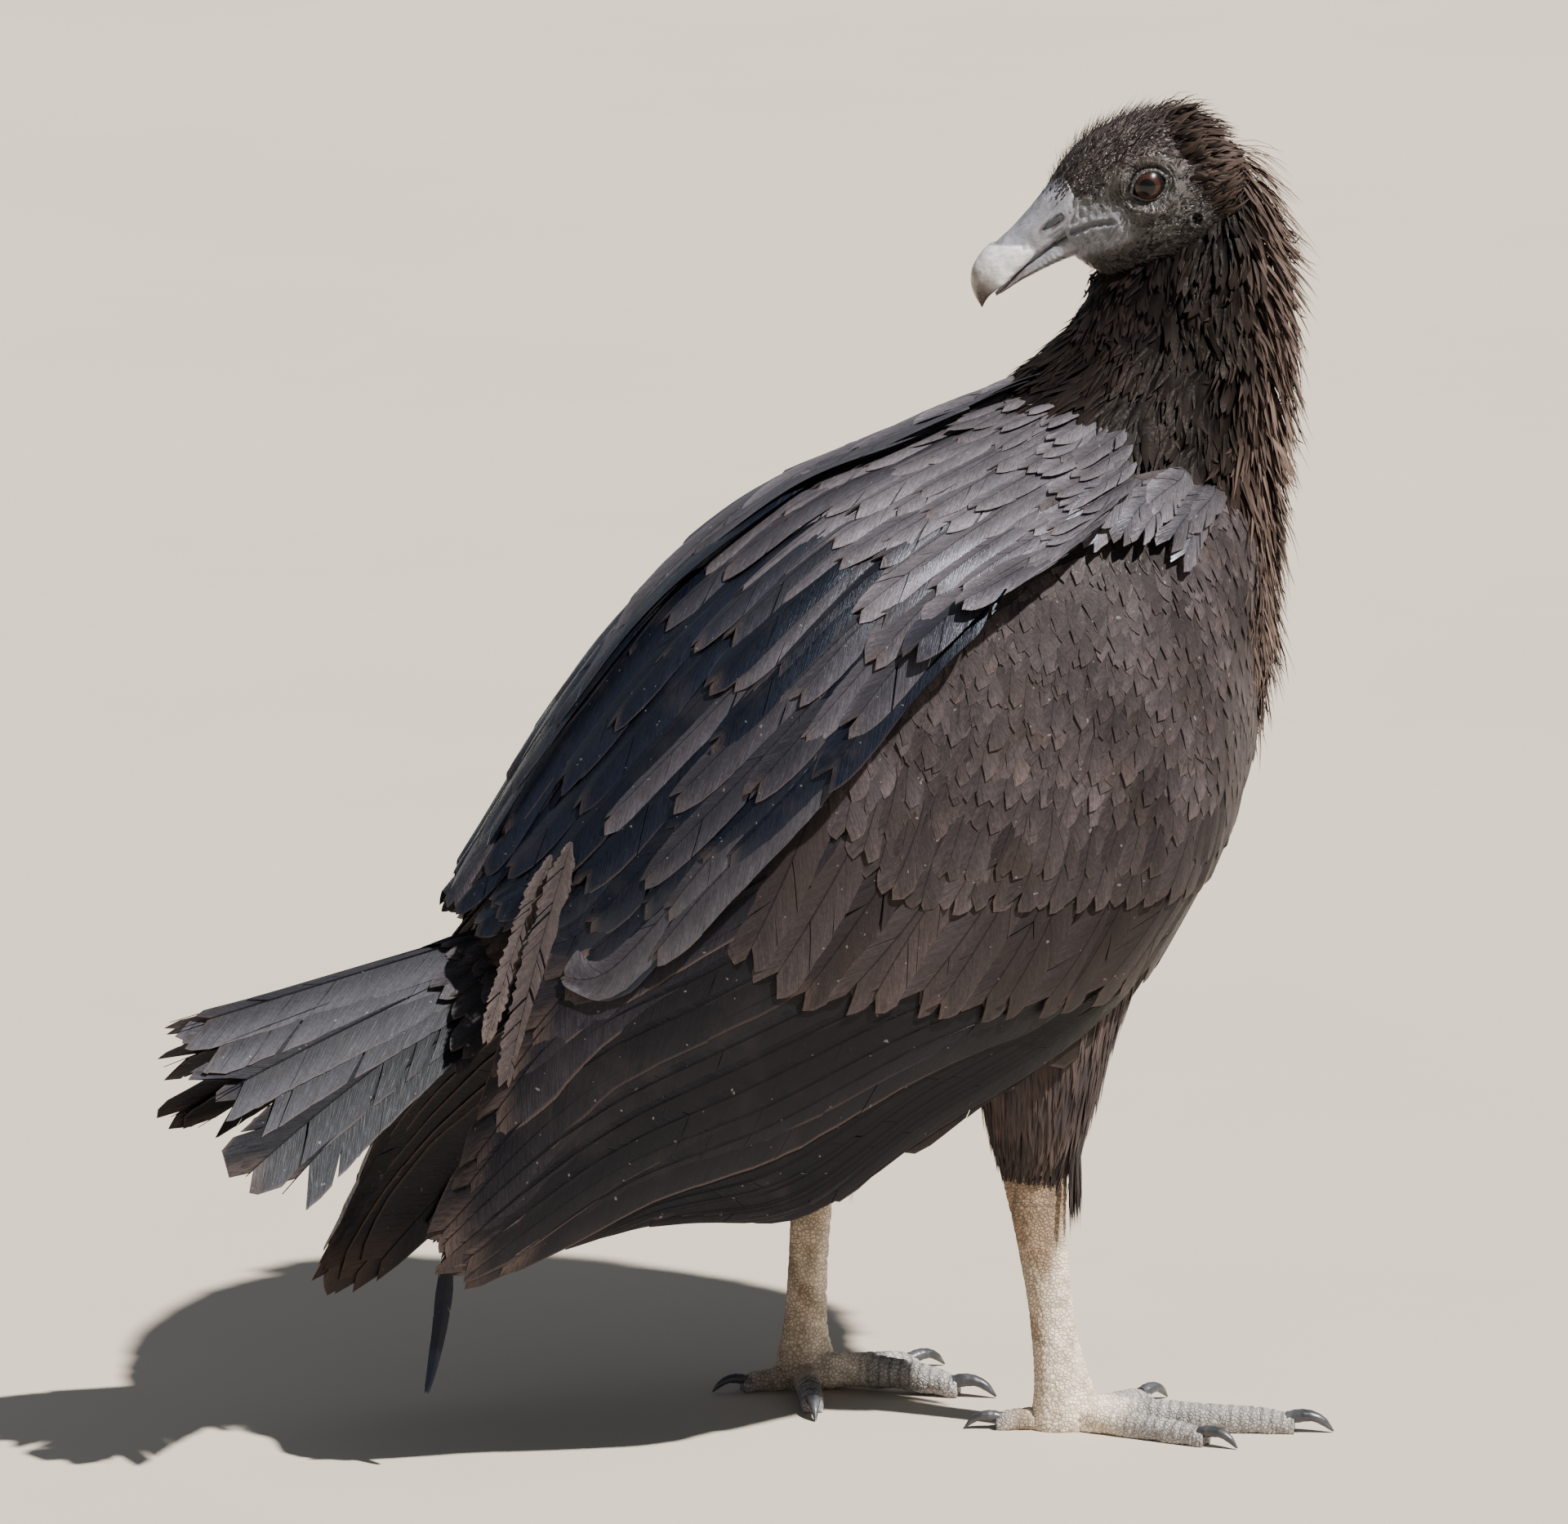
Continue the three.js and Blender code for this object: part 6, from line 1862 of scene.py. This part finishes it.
class VULTURE_OT_thighs(bpy.types.Operator):
    """Makes the hair-like locks of the thighs, which hang down to points over the heel joints"""
    bl_idname = "vulture.thighs"
    bl_label = "Thigh Locks"

    def execute(self, context):
        tints, rng = colours(), np.random.default_rng(91)
        look = lock_finish("lock_thigh", 0.52, gloss=0.2, sheen=0.03)
        gap = sizes().lock_gap / MM
        for side, _ in SIDES:
            coat, leg = Coat(), LEGS[side]
            face = loft(leg.thigh, upright((0, leg.y, 0)))
            root = scatter(face, (0.02, 0.985), ROUND, (1.25 * gap, gap), rng, 0.45)
            n = len(root)
            at = face(*root.T)
            low = step_up(root[:, 0], 0.6, 0.95)
            ragged = step_up(ripple(at, 9, 93), 0.2, 0.9) * low
            front = step_up(np.cos(root[:, 1]), 0.0, 0.8)
            long = rng.uniform(20, 32, n) * (1 - 0.42 * low) + 14 * ragged * (0.5 + front)
            wet = (rng.random(n) < 0.3) * front * step_up(root[:, 0], 0.55, 0.8)
            long = long + rng.uniform(6, 20, n) * wet
            tip = aim(face, root, (1, 0), long)
            tip[:, 0] = np.minimum(tip[:, 0], 1.05 + 0.05 * rng.random(n) + 0.22 * front * rng.random(n))
            clump = ripple(at, 12, 92, stretch=(1, 1, 2.5))
            tip[:, 1] += rng.normal(0, 0.04, n) + 0.10 * ripple(at, 8, 94)
            rise = np.maximum(0.9 + 0.5 * clump + rng.normal(0, 0.35, n), 0.1) + 1.2 * ragged + 1.5 * wet
            rusty = np.clip(0.22 + 0.25 * clump, 0, 0.45)
            tint = shade(tints.covert, n, rng, 0.16, tints.rust, rusty, trim=0.4)
            tint[:, :3] *= (1 - 0.75 * low)[:, None]
            lay_locks(coat, face, root, tip, rng.uniform(0.8, 1.4, n), tint, -2.2, rise + 1.5,
                      rng.normal(0, 0.03, n), LOFT_AREA, rings=5, twist=rng.normal(0, 0.4, n))
            def hanging(t, turn, face=face):
                at = face(np.minimum(t, 0.88), turn)
                at[..., 2] -= 110 * np.maximum(t - 0.88, 0)
                return at
            root = scatter(hanging, (0.62, 0.88), (-0.9, 0.9), (2.2, 2.0), rng, 0.4)
            n = len(root)
            point = np.round(root[:, 1] / 0.32) * 0.32 + rng.normal(0, 0.03, n)
            tip = np.stack([0.96 + 0.20 * rng.random(n), point], -1)
            tint = shade(np.array(tints.covert) * 0.4, n, rng, 0.25, tints.rust, 0.1 * rng.random(n))
            lay_locks(coat, hanging, root, tip, rng.uniform(0.7, 1.1, n), tint, -0.8,
                      rng.uniform(-0.5, 2.0, n), area=LOFT_AREA, rings=5)
            finish(coat.object("thigh_locks_" + side), "plumage", look)
        return {"FINISHED"}


# ---------------------------------------------------------------- stage
class VULTURE_OT_stage(bpy.types.Operator):
    """Sets a pale floor, soft sunlight from above the head, an even sky and the camera"""
    bl_idname = "vulture.stage"
    bl_label = "Stage"

    def execute(self, context):
        size = sizes()
        scene = context.scene
        round_way, flat = size.azimuth, np.cos(size.elevation)
        away = Vector((np.sin(round_way) * flat, -np.cos(round_way) * flat, np.sin(size.elevation)))
        data = bpy.data.cameras.new("camera")
        data.lens = data.sensor_width * size.distance / size.picture
        data.clip_end = 50
        camera = bpy.data.objects.new("camera", data)
        camera.location = Vector(size.target) + away * size.distance
        camera.rotation_euler = (-away).to_track_quat("-Z", "Y").to_euler()
        right = Vector((np.cos(round_way), np.sin(round_way), 0))
        sun = bpy.data.lights.new("sun", "SUN")
        sun.energy = 10.6
        sun.angle = np.radians(1.6)
        sun.color = (1.0, 0.965, 0.91)
        key = bpy.data.objects.new("sun", sun)
        towards = (right * 0.62 + away * 0.42 + Vector((0, 0, 0.95))).normalized()
        key.rotation_euler = (-towards).to_track_quat("-Z", "Y").to_euler()
        corners = 6000.0 * np.array([(-1, -1, 0), (1, -1, 0), (1, 1, 0), (-1, 1, 0)])
        ground = make_mesh("floor", corners, [np.array([[0, 1, 2, 3]])])
        ground.data.materials.append(floor_finish(FLOOR))
        for made in (camera, key):
            scene.collection.objects.link(made)
        scene.camera = camera
        world = bpy.data.worlds.new("sky")
        world.use_nodes = True
        sky = world.node_tree.nodes["Background"]
        sky.inputs["Color"].default_value = (0.80, 0.88, 1.0, 1)
        sky.inputs["Strength"].default_value = 0.28
        scene.world = world
        return {"FINISHED"}


class VULTURE_PT_panel(bpy.types.Panel):
    """Sizes, colours and the steps of the vulture"""
    bl_label = "Black Vulture"
    bl_space_type = "VIEW_3D"
    bl_region_type = "UI"
    bl_category = "Vulture"

    def draw(self, context):
        for group in (context.scene.vulture_sizes, context.scene.vulture_colours):
            box = self.layout.box()
            for name in group.bl_rna.properties.keys():
                if name not in ("rna_type", "name"):
                    box.prop(group, name)
        for step in STEPS:
            self.layout.operator(step.bl_idname)


STEPS = (
    VULTURE_OT_skin, VULTURE_OT_eyes, VULTURE_OT_bill, VULTURE_OT_claws, VULTURE_OT_tail, VULTURE_OT_wings,
    VULTURE_OT_shoulders, VULTURE_OT_loose_feathers, VULTURE_OT_body, VULTURE_OT_hackles, VULTURE_OT_bristles,
    VULTURE_OT_thighs, VULTURE_OT_stage,
)
CLASSES = (VultureColours, VultureSizes, *STEPS, VULTURE_PT_panel)


def register():
    for made in CLASSES:
        bpy.utils.register_class(made)
    bpy.types.Scene.vulture_colours = PointerProperty(type=VultureColours)
    bpy.types.Scene.vulture_sizes = PointerProperty(type=VultureSizes)


def unregister():
    del bpy.types.Scene.vulture_colours
    del bpy.types.Scene.vulture_sizes
    for made in reversed(CLASSES):
        bpy.utils.unregister_class(made)


def main():
    register()
    for step in STEPS:
        getattr(bpy.ops.vulture, step.bl_idname.split(".")[1])()


if __name__ == "__main__":
    main()
